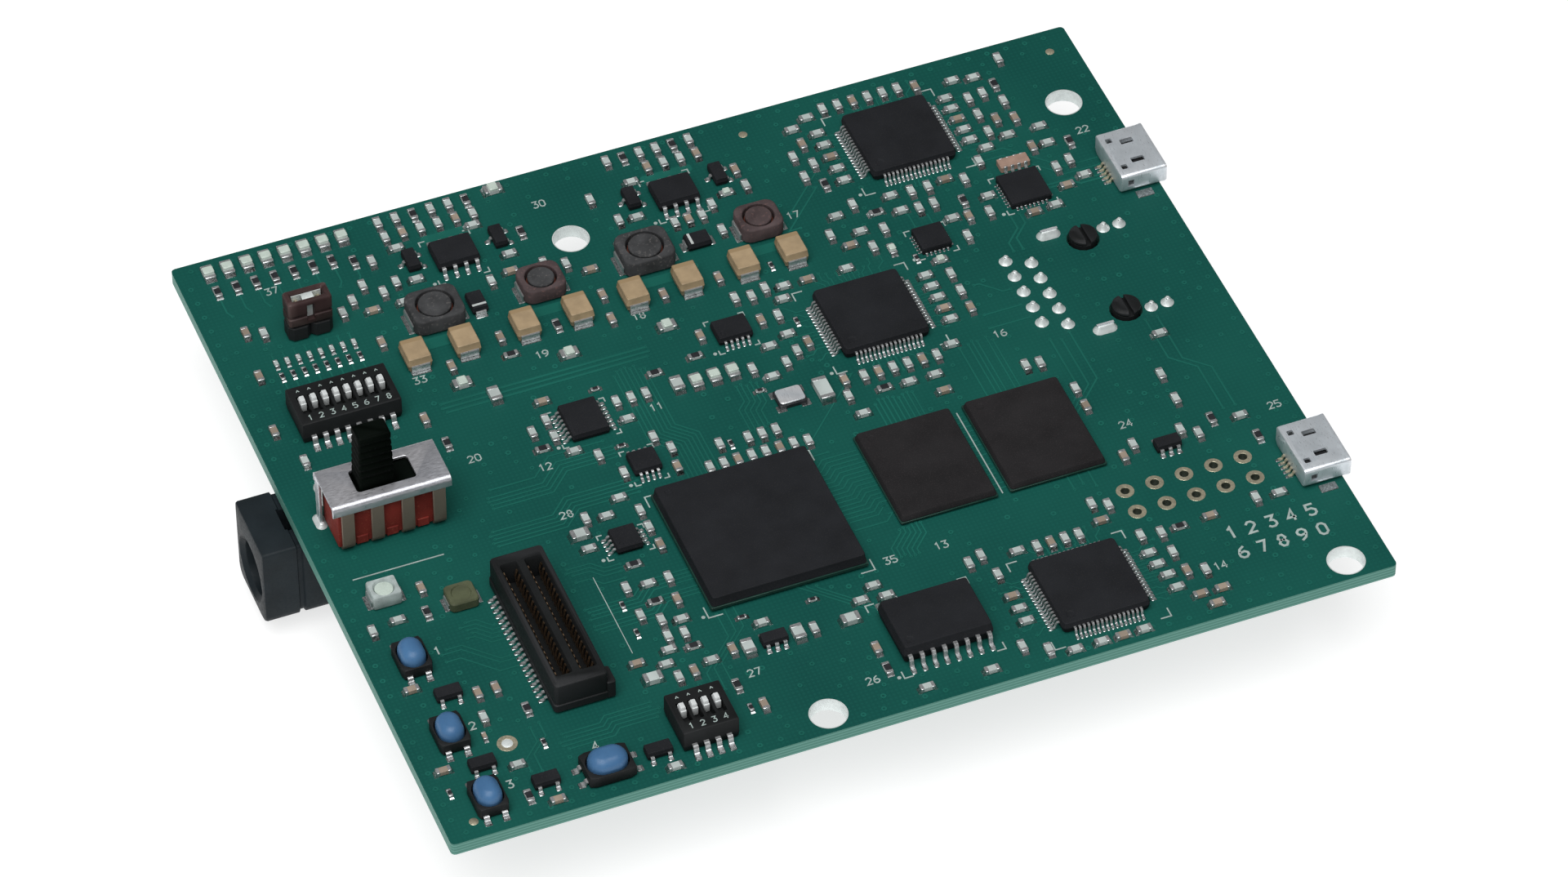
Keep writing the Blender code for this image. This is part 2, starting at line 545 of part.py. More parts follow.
# ---------------------------------------------------------------- 9. push buttons
def make_buttons():
    for name, at, across, k in BUTTONS:
        x, y = board_xy(at)
        turn = (lambda p: (-p[1], p[0])) if across else (lambda p: p)
        bx, by = (k * BTN_LONG, k * BTN_SHORT) if across else (k * BTN_SHORT, k * BTN_LONG)
        cl, cs = k * CAP_LONG, k * CAP_SHORT
        bm = bmesh.new()
        ring = lambda d, z: [(a * (bx / 2 - d), b * (by / 2 - d), z) for a, b in ((-1, -1), (1, -1), (1, 1), (-1, 1))]
        loft(bm, [ring(0, SEAT), ring(0, BTN_H - 0.1), ring(0.1, BTN_H)])
        well = bmesh.new()
        prism(well, [turn(p) for p in stadium(cl + 0.3, cs + 0.3, 6)], "Z", 0.55, BTN_H + 1)
        piece(name + "_base", bm, (x, y, TOP), BLACK, cuts=[well])
        cap = bmesh.new()
        base = 0.55 + BTN_TRAVEL + 0.1
        rows = []
        for z, d in ((base, 0.0), (BTN_H + 0.25, 0.0), (BTN_H + 0.7, 0.14), (BTN_H + 1.05, 0.42), (CAP_TOP, 0.86)):
            rows.append([(*turn(p), z) for p in stadium(cl - 2 * d, cs - 2 * d, 6)])
        loft(cap, rows)
        piece(name + "_cap", cap, (x, y, TOP), BLUE, smooth=True)


# ---------------------------------------------------------------- 10. jumper header and shunt
def make_jumper():
    x, y = board_xy(JUMPER_AT)
    bm = bmesh.new()
    box(bm, -PIN_PITCH, PIN_PITCH, -1.25, 1.25, 0.2, 2.0)
    pins = bmesh.new()
    q = PIN_SQ / 2
    for s in (-1, 1):
        c = s * PIN_PITCH / 2
        box(pins, c - q, c + q, -q, q, -BOARD_T - 1.4, 5.0)
    piece("jumper_header", bm, (x, y, TOP), BLACK, joins=[pins])
    sh = bmesh.new()
    ring = lambda d, z: [(a * (2.5 - d), b * (1.22 - d), z) for a, b in ((-1, -1), (1, -1), (1, 1), (-1, 1))]
    loft(sh, [ring(0, 2.25), ring(0, 5.4), ring(0.15, 5.6)])
    slot = bmesh.new()
    box(slot, -1.8, 1.8, -0.55, 0.55, 1.5, 6.5)
    piece("jumper_shunt", sh, (x, y, TOP), BLACK, cuts=[slot])


make_board()
make_chips()
make_power_parts()
make_jack()
make_slide_switch()
make_dip("dip8", DIP8_AT, 8)
make_dip("dip4", DIP4_AT, 4)
for usb_name, usb_at in USB_AT.items():
    make_usb(usb_name, usb_at)
make_mezzanine()
make_network_jack()
make_buttons()
make_jumper()
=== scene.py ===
"""Development board: the finish of every surface and the fine parts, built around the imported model.

Shapes are drawn in board millimetres: x from the left edge, y from the near edge and z from the
underside of the laminate, or, for a seated part, from the face of the laminate that it stands on.
"""

import bmesh
import bpy
import math
import random
from mathutils import Matrix, Vector


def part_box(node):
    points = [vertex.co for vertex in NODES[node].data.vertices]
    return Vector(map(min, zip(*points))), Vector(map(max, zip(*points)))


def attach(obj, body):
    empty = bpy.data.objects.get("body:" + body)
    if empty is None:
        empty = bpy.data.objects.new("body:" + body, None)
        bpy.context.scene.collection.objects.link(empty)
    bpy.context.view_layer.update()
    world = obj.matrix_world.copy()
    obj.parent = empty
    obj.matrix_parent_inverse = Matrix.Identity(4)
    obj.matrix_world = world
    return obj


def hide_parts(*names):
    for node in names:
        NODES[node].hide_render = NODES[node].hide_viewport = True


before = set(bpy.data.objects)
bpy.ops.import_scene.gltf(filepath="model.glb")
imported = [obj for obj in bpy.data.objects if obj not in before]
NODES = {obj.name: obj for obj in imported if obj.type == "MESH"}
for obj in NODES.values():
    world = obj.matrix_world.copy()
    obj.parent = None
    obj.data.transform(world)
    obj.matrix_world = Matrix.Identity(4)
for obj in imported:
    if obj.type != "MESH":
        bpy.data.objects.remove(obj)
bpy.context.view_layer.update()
rng = random.Random(23)

L, W, TOP = 106.0, 89.8, 1.6
BOARD = "board"


# ================================================================ mesh building
def outline(sx, sy, r, seg=2, side=1, cx=0.0, cy=0.0):
    """Rounded rectangle, anticlockwise, with each straight side in a number of steps."""
    r = max(0.002, min(r, sx / 2 - 0.001, sy / 2 - 0.001))
    corners = []
    for ax, ay, start in ((1, 1, 0), (-1, 1, 90), (-1, -1, 180), (1, -1, 270)):
        corners.append([(cx + ax * (sx / 2 - r) + r * math.cos(math.radians(start + 90.0 * i / seg)),
                         cy + ay * (sy / 2 - r) + r * math.sin(math.radians(start + 90.0 * i / seg)))
                        for i in range(seg + 1)])
    pts = []
    for k in range(4):
        pts += corners[k]
        a, b = corners[k][-1], corners[(k + 1) % 4][0]
        for i in range(1, side):
            t = i / side
            pts.append((a[0] + (b[0] - a[0]) * t, a[1] + (b[1] - a[1]) * t))
    return pts


def stadium(a, b, n, across=False):
    """Round-ended outline, a long and b wide."""
    r, h = b / 2, a / 2 - b / 2
    pts = [(r * math.cos(math.pi * i / n), h + r * math.sin(math.pi * i / n)) for i in range(n + 1)]
    pts += [(-p[0], -p[1]) for p in pts]
    return [(-y, x) for x, y in pts] if across else pts


def level(pts, z):
    return [(x, y, z) for x, y in pts]


def round_ring(pts, cx, cy, r, z):
    """A circle with one point towards each point of an outline around it."""
    out = []
    for x, y in pts:
        d = math.hypot(x - cx, y - cy)
        out.append((cx + (x - cx) / d * r, cy + (y - cy) / d * r, z))
    return out


class Shape:
    """Closed shells gathered into one mesh."""

    def __init__(self):
        self.v, self.f, self.m = [], [], None

    def rings(self, rows, loop=False):
        o, n, k = len(self.v), len(rows[0]), len(rows)
        for row in rows:
            for p in row:
                q = self.m @ Vector(p) if self.m is not None else p
                self.v.append((q[0], q[1], q[2]))
        for a in range(k if loop else k - 1):
            b = (a + 1) % k
            for i in range(n):
                j = (i + 1) % n
                self.f.append((o + a * n + i, o + a * n + j, o + b * n + j, o + b * n + i))
        if not loop:
            self.f.append(tuple(o + i for i in reversed(range(n))))
            self.f.append(tuple(o + (k - 1) * n + i for i in range(n)))
        return self

    def block(self, cx, cy, z0, z1, sx, sy, r=0.08, c=0.05, seg=1, top=0.0, bot=0.0):
        """Box with softened edges; top and bot draw its upper and lower outline in."""
        c = min(c, (z1 - z0) * 0.3)
        rows = []
        for d, z in ((bot + c, z0), (bot, z0 + c), (top, z1 - c), (top + c, z1)):
            rows.append(level(outline(sx - 2 * d, sy - 2 * d, max(r - 0.4 * d, 0.01), seg, 1, cx, cy), z))
        return self.rings(rows)

    def plain(self, x0, x1, y0, y1, z0, z1):
        return self.rings([[(x0, y0, z), (x1, y0, z), (x1, y1, z), (x0, y1, z)] for z in (z0, z1)])

    def lathe(self, cx, cy, prof, n=16):
        """Turned solid about a vertical axis, profile from bottom to top."""
        return self.rings([[(cx + r * math.cos(2 * math.pi * (i + 0.5) / n), cy + r * math.sin(2 * math.pi * (i + 0.5) / n), z)
                            for i in range(n)] for r, z in prof])

    def lathe_x(self, cy, cz, prof, n=20):
        """Turned solid about an axis along x, profile (x, r)."""
        return self.rings([[(x, cy + r * math.cos(2 * math.pi * (i + 0.5) / n), cz + r * math.sin(2 * math.pi * (i + 0.5) / n))
                            for i in range(n)] for x, r in prof])

    def ring(self, cx, cy, ri, ro, z0, z1, n=16, c=0.0):
        """Flat ring, with its upper edges eased by c."""
        rows = []
        for i in range(n):
            t = 2 * math.pi * (i + 0.5) / n
            u, v = math.cos(t), math.sin(t)
            sec = [(ri, z0), (ro, z0), (ro, z1 - c), (ro - c, z1), (ri + c, z1), (ri, z1 - c)] if c else \
                  [(ri, z0), (ro, z0), (ro, z1), (ri, z1)]
            rows.append([(cx + q * u, cy + q * v, z) for q, z in sec])
        return self.rings(rows, loop=True)

    def ribbon(self, path, side, w, t):
        """Sheet-metal strip along a path; side is the direction of its width."""
        pts = [Vector(p) for p in path]
        side = Vector(side).normalized()
        rows = []
        for i, p in enumerate(pts):
            d1 = (p - pts[i - 1]).normalized() if i else None
            d2 = (pts[i + 1] - p).normalized() if i < len(pts) - 1 else None
            d = (d1 + d2).normalized() if d1 is not None and d2 is not None else (d1 if d1 is not None else d2)
            n = d.cross(side).normalized()
            k = 1.0
            if d1 is not None and d2 is not None:
                k = 1.0 / max(0.4, n.dot(d1.cross(side).normalized()))
            h, s = n * (t / 2 * k), side * (w / 2)
            rows.append([p - s - h, p + s - h, p + s + h, p - s + h])
        return self.rings(rows)

    def wire(self, path, r, n=8):
        """Round wire along a path."""
        pts = [Vector(p) for p in path]
        ref = Vector((0, 0, 1))
        if abs((pts[1] - pts[0]).normalized().dot(ref)) > 0.9:
            ref = Vector((0, 1, 0))
        rows = []
        for i, p in enumerate(pts):
            d = (pts[min(i + 1, len(pts) - 1)] - pts[max(i - 1, 0)]).normalized()
            a = d.cross(ref).normalized()
            b = a.cross(d).normalized()
            ref = b
            rows.append([p + a * (r * math.cos(2 * math.pi * k / n)) + b * (r * math.sin(2 * math.pi * k / n)) for k in range(n)])
        return self.rings(rows)

    def track(self, pts, w, z0, z1, closed=False):
        """Flat strip of width w along a line drawn on the board."""
        pts = [Vector((p[0], p[1])) for p in pts]
        n = len(pts)
        rows = []
        for i, p in enumerate(pts):
            d1 = (p - pts[i - 1]).normalized() if (i or closed) else None
            d2 = (pts[(i + 1) % n] - p).normalized() if (i < n - 1 or closed) else None
            d = d1 if d2 is None else d2 if d1 is None else (d1 + d2).normalized()
            nn = Vector((-d.y, d.x))
            k = 1.0
            if d1 is not None and d2 is not None:
                k = 1.0 / max(0.4, nn.dot(Vector((-d1.y, d1.x))))
            a, b = p + nn * (w / 2 * k), p - nn * (w / 2 * k)
            rows.append([(b.x, b.y, z0), (a.x, a.y, z0), (a.x, a.y, z1), (b.x, b.y, z1)])
        return self.rings(rows, loop=closed)

    def raw(self, name):
        me = bpy.data.meshes.new(name)
        me.from_pydata([((x - L / 2) / 1000.0, (y - W / 2) / 1000.0, z / 1000.0) for x, y, z in self.v], [], self.f)
        bm = bmesh.new()
        bm.from_mesh(me)
        bmesh.ops.recalc_face_normals(bm, faces=bm.faces[:])
        bm.to_mesh(me)
        bm.free()
        ob = bpy.data.objects.new(name, me)
        bpy.context.scene.collection.objects.link(ob)
        return ob

    def make(self, name, mat, body=BOARD, stands_for=(), slot=None, smooth=32, cuts=(), joins=(), bevel=None):
        """Writes the shells out as one piece that rides on a body."""
        ob = self.raw(name)
        tools = [(t, op) for op, ts in (("UNION", joins), ("DIFFERENCE", cuts)) for t in ts]
        if tools:
            made = []
            for t, op in tools:
                tool = t.raw("tool")
                mod = ob.modifiers.new("shape", "BOOLEAN")
                mod.operation, mod.solver, mod.object = op, "EXACT", tool
                made.append(tool)
            bpy.context.view_layer.update()
            me = bpy.data.meshes.new_from_object(ob.evaluated_get(bpy.context.evaluated_depsgraph_get()))
            ob.modifiers.clear()
            ob.data = me
            me.name = name
            for t in made:
                bpy.data.objects.remove(t, do_unlink=True)
        ob.data.materials.clear()
        ob.data.materials.append(mat)
        ob.data.shade_smooth()
        ob.data.set_sharp_from_angle(angle=math.radians(smooth))
        if bevel:
            soften(ob, *bevel)
        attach(ob, body)
        if stands_for:
            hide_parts(*([stands_for] if isinstance(stands_for, str) else stands_for))
        return ob


def soften(ob, width, seg=2, angle=40):
    """Rounds the sharp edges of a piece by a width in millimetres."""
    mod = ob.modifiers.new("soft_edges", "BEVEL")
    mod.width = width / 1000.0
    mod.segments = seg
    mod.limit_method = "ANGLE"
    mod.angle_limit = math.radians(angle)
    mod.harden_normals = False


def seat(x, y, turn, *shapes, under=False):
    """Sets the place of the shells that follow: on the component side, or hung under the board."""
    m = Matrix.Translation((x, y, 0.0 if under else TOP)) @ Matrix.Rotation(math.radians(turn), 4, "Z")
    if under:
        m = m @ Matrix.Rotation(math.pi, 4, "X")
    for s in shapes:
        s.m = m


# ================================================================ materials
def finish(name, base, rough=0.5, metal=0.0, spec=0.5, tone=0.14, light=None, patch=350.0, grain=5000.0, relief=0.12,
           depth=0.02, span=0.1, stretch=None, edge_wear_and_highlight=None, coat=0.0, fleck=None):
    """Surface whose colour drifts in patches, with grain in its gloss and relief, and its sharp edges lightened: part
    wear, part painted highlight.
    """
    m = bpy.data.materials.new(name)
    m.use_nodes = True
    n, link = m.node_tree.nodes, m.node_tree.links
    b = n["Principled BSDF"]
    b.inputs["Metallic"].default_value = metal
    b.inputs["Specular IOR Level"].default_value = spec
    if coat:
        b.inputs["Coat Weight"].default_value = coat
        b.inputs["Coat Roughness"].default_value = 0.12
    tc = n.new("ShaderNodeTexCoord")
    big = n.new("ShaderNodeTexNoise")
    big.inputs["Scale"].default_value = patch
    big.inputs["Detail"].default_value = 5.0
    link.new(tc.outputs["Object"], big.inputs["Vector"])
    ramp = n.new("ShaderNodeValToRGB")
    lo = [c * (1 - tone) for c in base]
    hi = light or [min(1.0, c * (1 + tone)) for c in base]
    ramp.color_ramp.elements[0].position, ramp.color_ramp.elements[0].color = 0.32, (*lo, 1)
    ramp.color_ramp.elements[1].position, ramp.color_ramp.elements[1].color = 0.68, (*hi, 1)
    link.new(big.outputs["Fac"], ramp.inputs["Fac"])
    colour = ramp.outputs["Color"]
    fine = n.new("ShaderNodeTexNoise")
    fine.inputs["Scale"].default_value = grain
    fine.inputs["Detail"].default_value = 3.0
    if stretch:
        mp = n.new("ShaderNodeMapping")
        mp.inputs["Scale"].default_value = stretch
        link.new(tc.outputs["Object"], mp.inputs["Vector"])
        link.new(mp.outputs["Vector"], fine.inputs["Vector"])
    else:
        link.new(tc.outputs["Object"], fine.inputs["Vector"])
    if fleck:
        spot = n.new("ShaderNodeValToRGB")
        spot.color_ramp.elements[0].position, spot.color_ramp.elements[0].color = 0.58, (0, 0, 0, 1)
        spot.color_ramp.elements[1].position, spot.color_ramp.elements[1].color = 0.72, (1, 1, 1, 1)
        link.new(fine.outputs["Fac"], spot.inputs["Fac"])
        mx = n.new("ShaderNodeMix")
        mx.data_type = "RGBA"
        link.new(spot.outputs["Color"], mx.inputs["Factor"])
        link.new(colour, mx.inputs["A"])
        mx.inputs["B"].default_value = (*fleck, 1)
        colour = mx.outputs["Result"]
    # sharp edges lightened by pointiness: part wear, part painted highlight on the bevels
    if edge_wear_and_highlight:
        geo = n.new("ShaderNodeNewGeometry")
        edge = n.new("ShaderNodeValToRGB")
        edge.color_ramp.elements[0].position, edge.color_ramp.elements[0].color = 0.53, (0, 0, 0, 1)
        edge.color_ramp.elements[1].position, edge.color_ramp.elements[1].color = 0.66, (0.8, 0.8, 0.8, 1)
        link.new(geo.outputs["Pointiness"], edge.inputs["Fac"])
        mx = n.new("ShaderNodeMix")
        mx.data_type = "RGBA"
        link.new(edge.outputs["Color"], mx.inputs["Factor"])
        link.new(colour, mx.inputs["A"])
        mx.inputs["B"].default_value = (*edge_wear_and_highlight, 1)
        colour = mx.outputs["Result"]
    link.new(colour, b.inputs["Base Color"])
    gloss = n.new("ShaderNodeMapRange")
    gloss.inputs["From Min"].default_value, gloss.inputs["From Max"].default_value = 0.3, 0.7
    gloss.inputs["To Min"].default_value = max(0.04, rough - span)
    gloss.inputs["To Max"].default_value = min(1.0, rough + span)
    link.new(fine.outputs["Fac"], gloss.inputs["Value"])
    link.new(gloss.outputs["Result"], b.inputs["Roughness"])
    if relief:
        bump = n.new("ShaderNodeBump")
        bump.inputs["Strength"].default_value = relief
        bump.inputs["Distance"].default_value = depth / 1000.0
        link.new(fine.outputs["Fac"], bump.inputs["Height"])
        link.new(bump.outputs["Normal"], b.inputs["Normal"])
    return m


def laminate():
    """Solder mask with the glass weave under it on both faces, layered glass-epoxy on the cut edges."""
    m = bpy.data.materials.new("mask_on_laminate")
    m.use_nodes = True
    n, link = m.node_tree.nodes, m.node_tree.links
    b = n["Principled BSDF"]
    b.inputs["Specular IOR Level"].default_value = 0.12
    tc = n.new("ShaderNodeTexCoord")
    geo = n.new("ShaderNodeNewGeometry")
    sep = n.new("ShaderNodeSeparateXYZ")
    link.new(geo.outputs["True Normal"], sep.inputs["Vector"])
    up = n.new("ShaderNodeMath")
    up.operation = "ABSOLUTE"
    link.new(sep.outputs["Z"], up.inputs[0])
    face = n.new("ShaderNodeMath")
    face.operation = "GREATER_THAN"
    face.inputs[1].default_value = 0.5
    link.new(up.outputs[0], face.inputs[0])
    # broad drift of the mask colour
    drift = n.new("ShaderNodeTexNoise")
    drift.inputs["Scale"].default_value = 55.0
    drift.inputs["Detail"].default_value = 6.0
    link.new(tc.outputs["Object"], drift.inputs["Vector"])
    tone = n.new("ShaderNodeValToRGB")
    tone.color_ramp.elements[0].position, tone.color_ramp.elements[0].color = 0.3, (0.0042, 0.064, 0.053, 1)
    tone.color_ramp.elements[1].position, tone.color_ramp.elements[1].color = 0.7, (0.0068, 0.086, 0.068, 1)
    link.new(drift.outputs["Fac"], tone.inputs["Fac"])
    # glass weave: two crossed bands of about half a millimetre
    weave = None
    for turn in (0.0, math.pi / 2):
        mp = n.new("ShaderNodeMapping")
        mp.inputs["Rotation"].default_value = (0.0, 0.0, turn)
        link.new(tc.outputs["Object"], mp.inputs["Vector"])
        wv = n.new("ShaderNodeTexWave")
        wv.inputs["Scale"].default_value = 620.0
        wv.inputs["Distortion"].default_value = 0.6
        wv.inputs["Detail"].default_value = 1.0
        link.new(mp.outputs["Vector"], wv.inputs["Vector"])
        if weave is None:
            weave = wv
        else:
            mul = n.new("ShaderNodeMath")
            mul.operation = "MULTIPLY"
            link.new(weave.outputs["Fac"], mul.inputs[0])
            link.new(wv.outputs["Fac"], mul.inputs[1])
            weave = mul
    cloth = n.new("ShaderNodeMapRange")
    cloth.inputs["To Min"].default_value, cloth.inputs["To Max"].default_value = 0.0, 0.3
    link.new(weave.outputs[0], cloth.inputs["Value"])
    mask = n.new("ShaderNodeMix")
    mask.data_type = "RGBA"
    link.new(cloth.outputs["Result"], mask.inputs["Factor"])
    link.new(tone.outputs["Color"], mask.inputs["A"])
    mask.inputs["B"].default_value = (0.010, 0.112, 0.088, 1)
    # cut edge: pale glass-epoxy in thin layers
    pz = n.new("ShaderNodeSeparateXYZ")
    link.new(tc.outputs["Object"], pz.inputs["Vector"])
    lay = n.new("ShaderNodeMath")
    lay.operation = "SINE"
    k = n.new("ShaderNodeMath")
    k.operation = "MULTIPLY"
    k.inputs[1].default_value = 2 * math.pi / 0.0004
    link.new(pz.outputs["Z"], k.inputs[0])
    link.new(k.outputs[0], lay.inputs[0])
    edge = n.new("ShaderNodeValToRGB")
    edge.color_ramp.elements[0].position, edge.color_ramp.elements[0].color = 0.1, (0.082, 0.222, 0.182, 1)
    edge.color_ramp.elements[1].position, edge.color_ramp.elements[1].color = 0.9, (0.142, 0.328, 0.276, 1)
    link.new(lay.outputs[0], edge.inputs["Fac"])
    both = n.new("ShaderNodeMix")
    both.data_type = "RGBA"
    link.new(face.outputs[0], both.inputs["Factor"])
    link.new(edge.outputs["Color"], both.inputs["A"])
    link.new(mask.outputs["Result"], both.inputs["B"])
    link.new(both.outputs["Result"], b.inputs["Base Color"])
    fine = n.new("ShaderNodeTexNoise")
    fine.inputs["Scale"].default_value = 2600.0
    fine.inputs["Detail"].default_value = 3.0
    link.new(tc.outputs["Object"], fine.inputs["Vector"])
    gloss = n.new("ShaderNodeMapRange")
    gloss.inputs["To Min"].default_value, gloss.inputs["To Max"].default_value = 0.42, 0.60
    link.new(fine.outputs["Fac"], gloss.inputs["Value"])
    link.new(gloss.outputs["Result"], b.inputs["Roughness"])
    add = n.new("ShaderNodeMath")
    add.operation = "MULTIPLY_ADD"
    add.inputs[1].default_value = 0.5
    link.new(fine.outputs["Fac"], add.inputs[0])
    link.new(weave.outputs[0], add.inputs[2])
    bump = n.new("ShaderNodeBump")
    bump.inputs["Strength"].default_value = 0.12
    bump.inputs["Distance"].default_value = 0.00001
    link.new(add.outputs[0], bump.inputs["Height"])
    link.new(bump.outputs["Normal"], b.inputs["Normal"])
    return m


def banded(name, base, band, y_from, rough=0.5):
    """Moulded case with a printed polarity band past a line across the board."""
    m = finish(name, base, rough=rough, spec=0.35, tone=0.12, patch=700.0, grain=6000.0, relief=0.2)
    n, link = m.node_tree.nodes, m.node_tree.links
    b = n["Principled BSDF"]
    old = b.inputs["Base Color"].links[0].from_socket
    tc = n.new("ShaderNodeTexCoord")
    sep = n.new("ShaderNodeSeparateXYZ")
    link.new(tc.outputs["Object"], sep.inputs["Vector"])
    past = n.new("ShaderNodeMapRange")
    past.inputs["From Min"].default_value = y_from - 0.00006
    past.inputs["From Max"].default_value = y_from + 0.00006
    link.new(sep.outputs["Y"], past.inputs["Value"])
    mx = n.new("ShaderNodeMix")
    mx.data_type = "RGBA"
    link.new(past.outputs["Result"], mx.inputs["Factor"])
    link.new(old, mx.inputs["A"])
    mx.inputs["B"].default_value = (*band, 1)
    link.new(mx.outputs["Result"], b.inputs["Base Color"])
    return m


M_BOARD = laminate()
M_COPPER = finish("mask_over_copper", (0.010, 0.108, 0.084), rough=0.48, spec=0.12, tone=0.12, patch=120.0, grain=2600.0,
                  relief=0.1, depth=0.01)
M_SILK = finish("silkscreen_ink", (0.34, 0.41, 0.39), rough=0.7, spec=0.15, tone=0.16, patch=900.0, grain=7000.0, relief=0.25,
                depth=0.01)
M_MOULD = finish("chip_mould", (0.0150, 0.0160, 0.0185), rough=0.66, spec=0.10, tone=0.16, patch=260.0, grain=9000.0,
                 relief=0.35, depth=0.012, fleck=(0.032, 0.030, 0.032))
M_MOULD_WARM = finish("memory_mould", (0.0180, 0.0170, 0.0180), rough=0.64, spec=0.10, tone=0.2, patch=240.0, grain=9000.0,
                      relief=0.35, depth=0.012, fleck=(0.038, 0.032, 0.033))
M_SUBSTRATE = finish("chip_substrate", (0.010, 0.040, 0.030), rough=0.45, spec=0.3, tone=0.2, patch=500.0, grain=4000.0)
# edge colours given to the finishes below lighten their sharp edges: part wear, part painted highlight
M_TIN = finish("tinned_lead", (0.55, 0.56, 0.575), rough=0.36, metal=0.86, tone=0.12, patch=900.0, grain=6000.0, relief=0.15,
               span=0.12, edge_wear_and_highlight=(0.62, 0.63, 0.63))
M_SOLDER = finish("solder", (0.52, 0.55, 0.55), rough=0.30, metal=1.0, tone=0.14, patch=1500.0, grain=4000.0, relief=0.25,
                  depth=0.03, span=0.14)
M_BRIGHT = finish("bright_joint", (0.74, 0.79, 0.78), rough=0.38, metal=0.35, spec=0.5, tone=0.08, patch=1500.0, grain=4000.0,
                  relief=0.25, depth=0.03, span=0.12)
M_GOLD = finish("gold_plate", (0.70, 0.64, 0.47), rough=0.36, metal=0.85, tone=0.12, patch=900.0, grain=5000.0, relief=0.12)
# hole walls coloured dark olive: painted shade inside the plated holes
M_BARREL = finish("hole_wall", (0.050, 0.062, 0.044), rough=0.5, metal=0.3, spec=0.3, tone=0.2, patch=900.0, grain=5000.0, relief=0.2)
M_STEEL = finish("tinned_sheet", (0.60, 0.61, 0.655), rough=0.38, metal=0.84, tone=0.07, patch=300.0, grain=1600.0, relief=0.08,
                 depth=0.015, span=0.12, stretch=(1.0, 5.0, 1.0), edge_wear_and_highlight=(0.80, 0.79, 0.82))
# crimps coloured dark brown: painted shade and painted reflection of the dark board on the bent sheet
M_CRIMP = finish("crimp_sheet_painted_dark", (0.135, 0.088, 0.066), rough=0.44, metal=0.4, spec=0.25, tone=0.2, patch=420.0, grain=2600.0,
                 relief=0.15, depth=0.015, edge_wear_and_highlight=(0.24, 0.20, 0.16))
M_SHELL = finish("plated_shell", (0.71, 0.765, 0.81), rough=0.38, metal=0.64, tone=0.08, patch=420.0, grain=1900.0, relief=0.1,
                 depth=0.012, span=0.12, stretch=(7.0, 1.0, 1.0), edge_wear_and_highlight=(0.88, 0.87, 0.88))
M_BLACK = finish("black_plastic", (0.0105, 0.0115, 0.0120), rough=0.52, spec=0.14, tone=0.2, patch=320.0, grain=5200.0, relief=0.3,
                 depth=0.02, edge_wear_and_highlight=(0.026, 0.027, 0.029))
M_JACK = finish("jack_plastic", (0.0124, 0.0176, 0.0212), rough=0.50, spec=0.11, tone=0.2, patch=260.0, grain=3600.0, relief=0.35,
                depth=0.03, edge_wear_and_highlight=(0.020, 0.025, 0.027))
M_SHUNT = finish("shunt_plastic", (0.036, 0.019, 0.019), rough=0.5, spec=0.2, tone=0.25, patch=420.0, grain=5200.0, relief=0.3,
                 depth=0.02, edge_wear_and_highlight=(0.085, 0.055, 0.052))
M_LEVER = finish("lever_plastic", (0.0009, 0.0018, 0.0011), rough=0.58, spec=0.02, tone=0.2, patch=420.0, grain=5200.0, relief=0.25,
                 edge_wear_and_highlight=(0.0034, 0.0052, 0.0040))
M_RED = finish("red_phenolic", (0.190, 0.026, 0.020), rough=0.58, spec=0.15, tone=0.22, patch=420.0, grain=3800.0, relief=0.35,
               depth=0.03, fleck=(0.25, 0.055, 0.035))
M_WHITE = finish("white_plastic", (0.62, 0.645, 0.645), rough=0.46, spec=0.4, tone=0.05, patch=800.0, grain=5200.0, relief=0.2)
M_BLUE = finish("blue_plastic", (0.050, 0.135, 0.276), rough=0.38, spec=0.3, tone=0.12, patch=420.0, grain=4600.0, relief=0.12,
                light=(0.062, 0.158, 0.308))
M_TAN = finish("capacitor_tan", (0.50, 0.36, 0.22), rough=0.5, spec=0.35, tone=0.12, patch=700.0, grain=6000.0, relief=0.2)
M_TANT = banded("tantalum_case", (0.365, 0.268, 0.160), (0.300, 0.212, 0.116), (66.8 - W / 2 + 0.95) / 1000.0)
M_FERRITE = finish("ferrite", (0.050, 0.051, 0.053), rough=0.7, spec=0.12, tone=0.3, patch=500.0, grain=3000.0, relief=0.5,
                   depth=0.04, fleck=(0.105, 0.100, 0.098))
M_FERRITE_RED = finish("ferrite_brown", (0.074, 0.054, 0.055), rough=0.68, spec=0.12, tone=0.3, patch=500.0, grain=3000.0,
                       relief=0.5, depth=0.04, fleck=(0.14, 0.085, 0.08))
M_VARNISH = finish("winding_varnish", (0.105, 0.028, 0.016), rough=0.35, spec=0.5, tone=0.25, patch=900.0, grain=3500.0, relief=0.3)
M_CERAMIC = finish("white_ceramic", (0.48, 0.51, 0.50), rough=0.6, spec=0.3, tone=0.08, patch=900.0, grain=6000.0, relief=0.25)
M_FILM = finish("resistor_glaze", (0.018, 0.019, 0.022), rough=0.42, spec=0.4, tone=0.2, patch=900.0, grain=6000.0, relief=0.2)
M_CHIPCAP = finish("capacitor_ceramic", (0.29, 0.235, 0.185), rough=0.52, spec=0.3, tone=0.22, patch=260.0, grain=6000.0, relief=0.25)
M_CHIPGREY = finish("capacitor_pale", (0.43, 0.48, 0.465), rough=0.5, spec=0.3, tone=0.12, patch=260.0, grain=6000.0, relief=0.25)
M_OLIVE = finish("olive_case", (0.075, 0.085, 0.045), rough=0.55, spec=0.35, tone=0.2, patch=700.0, grain=5000.0, relief=0.3)
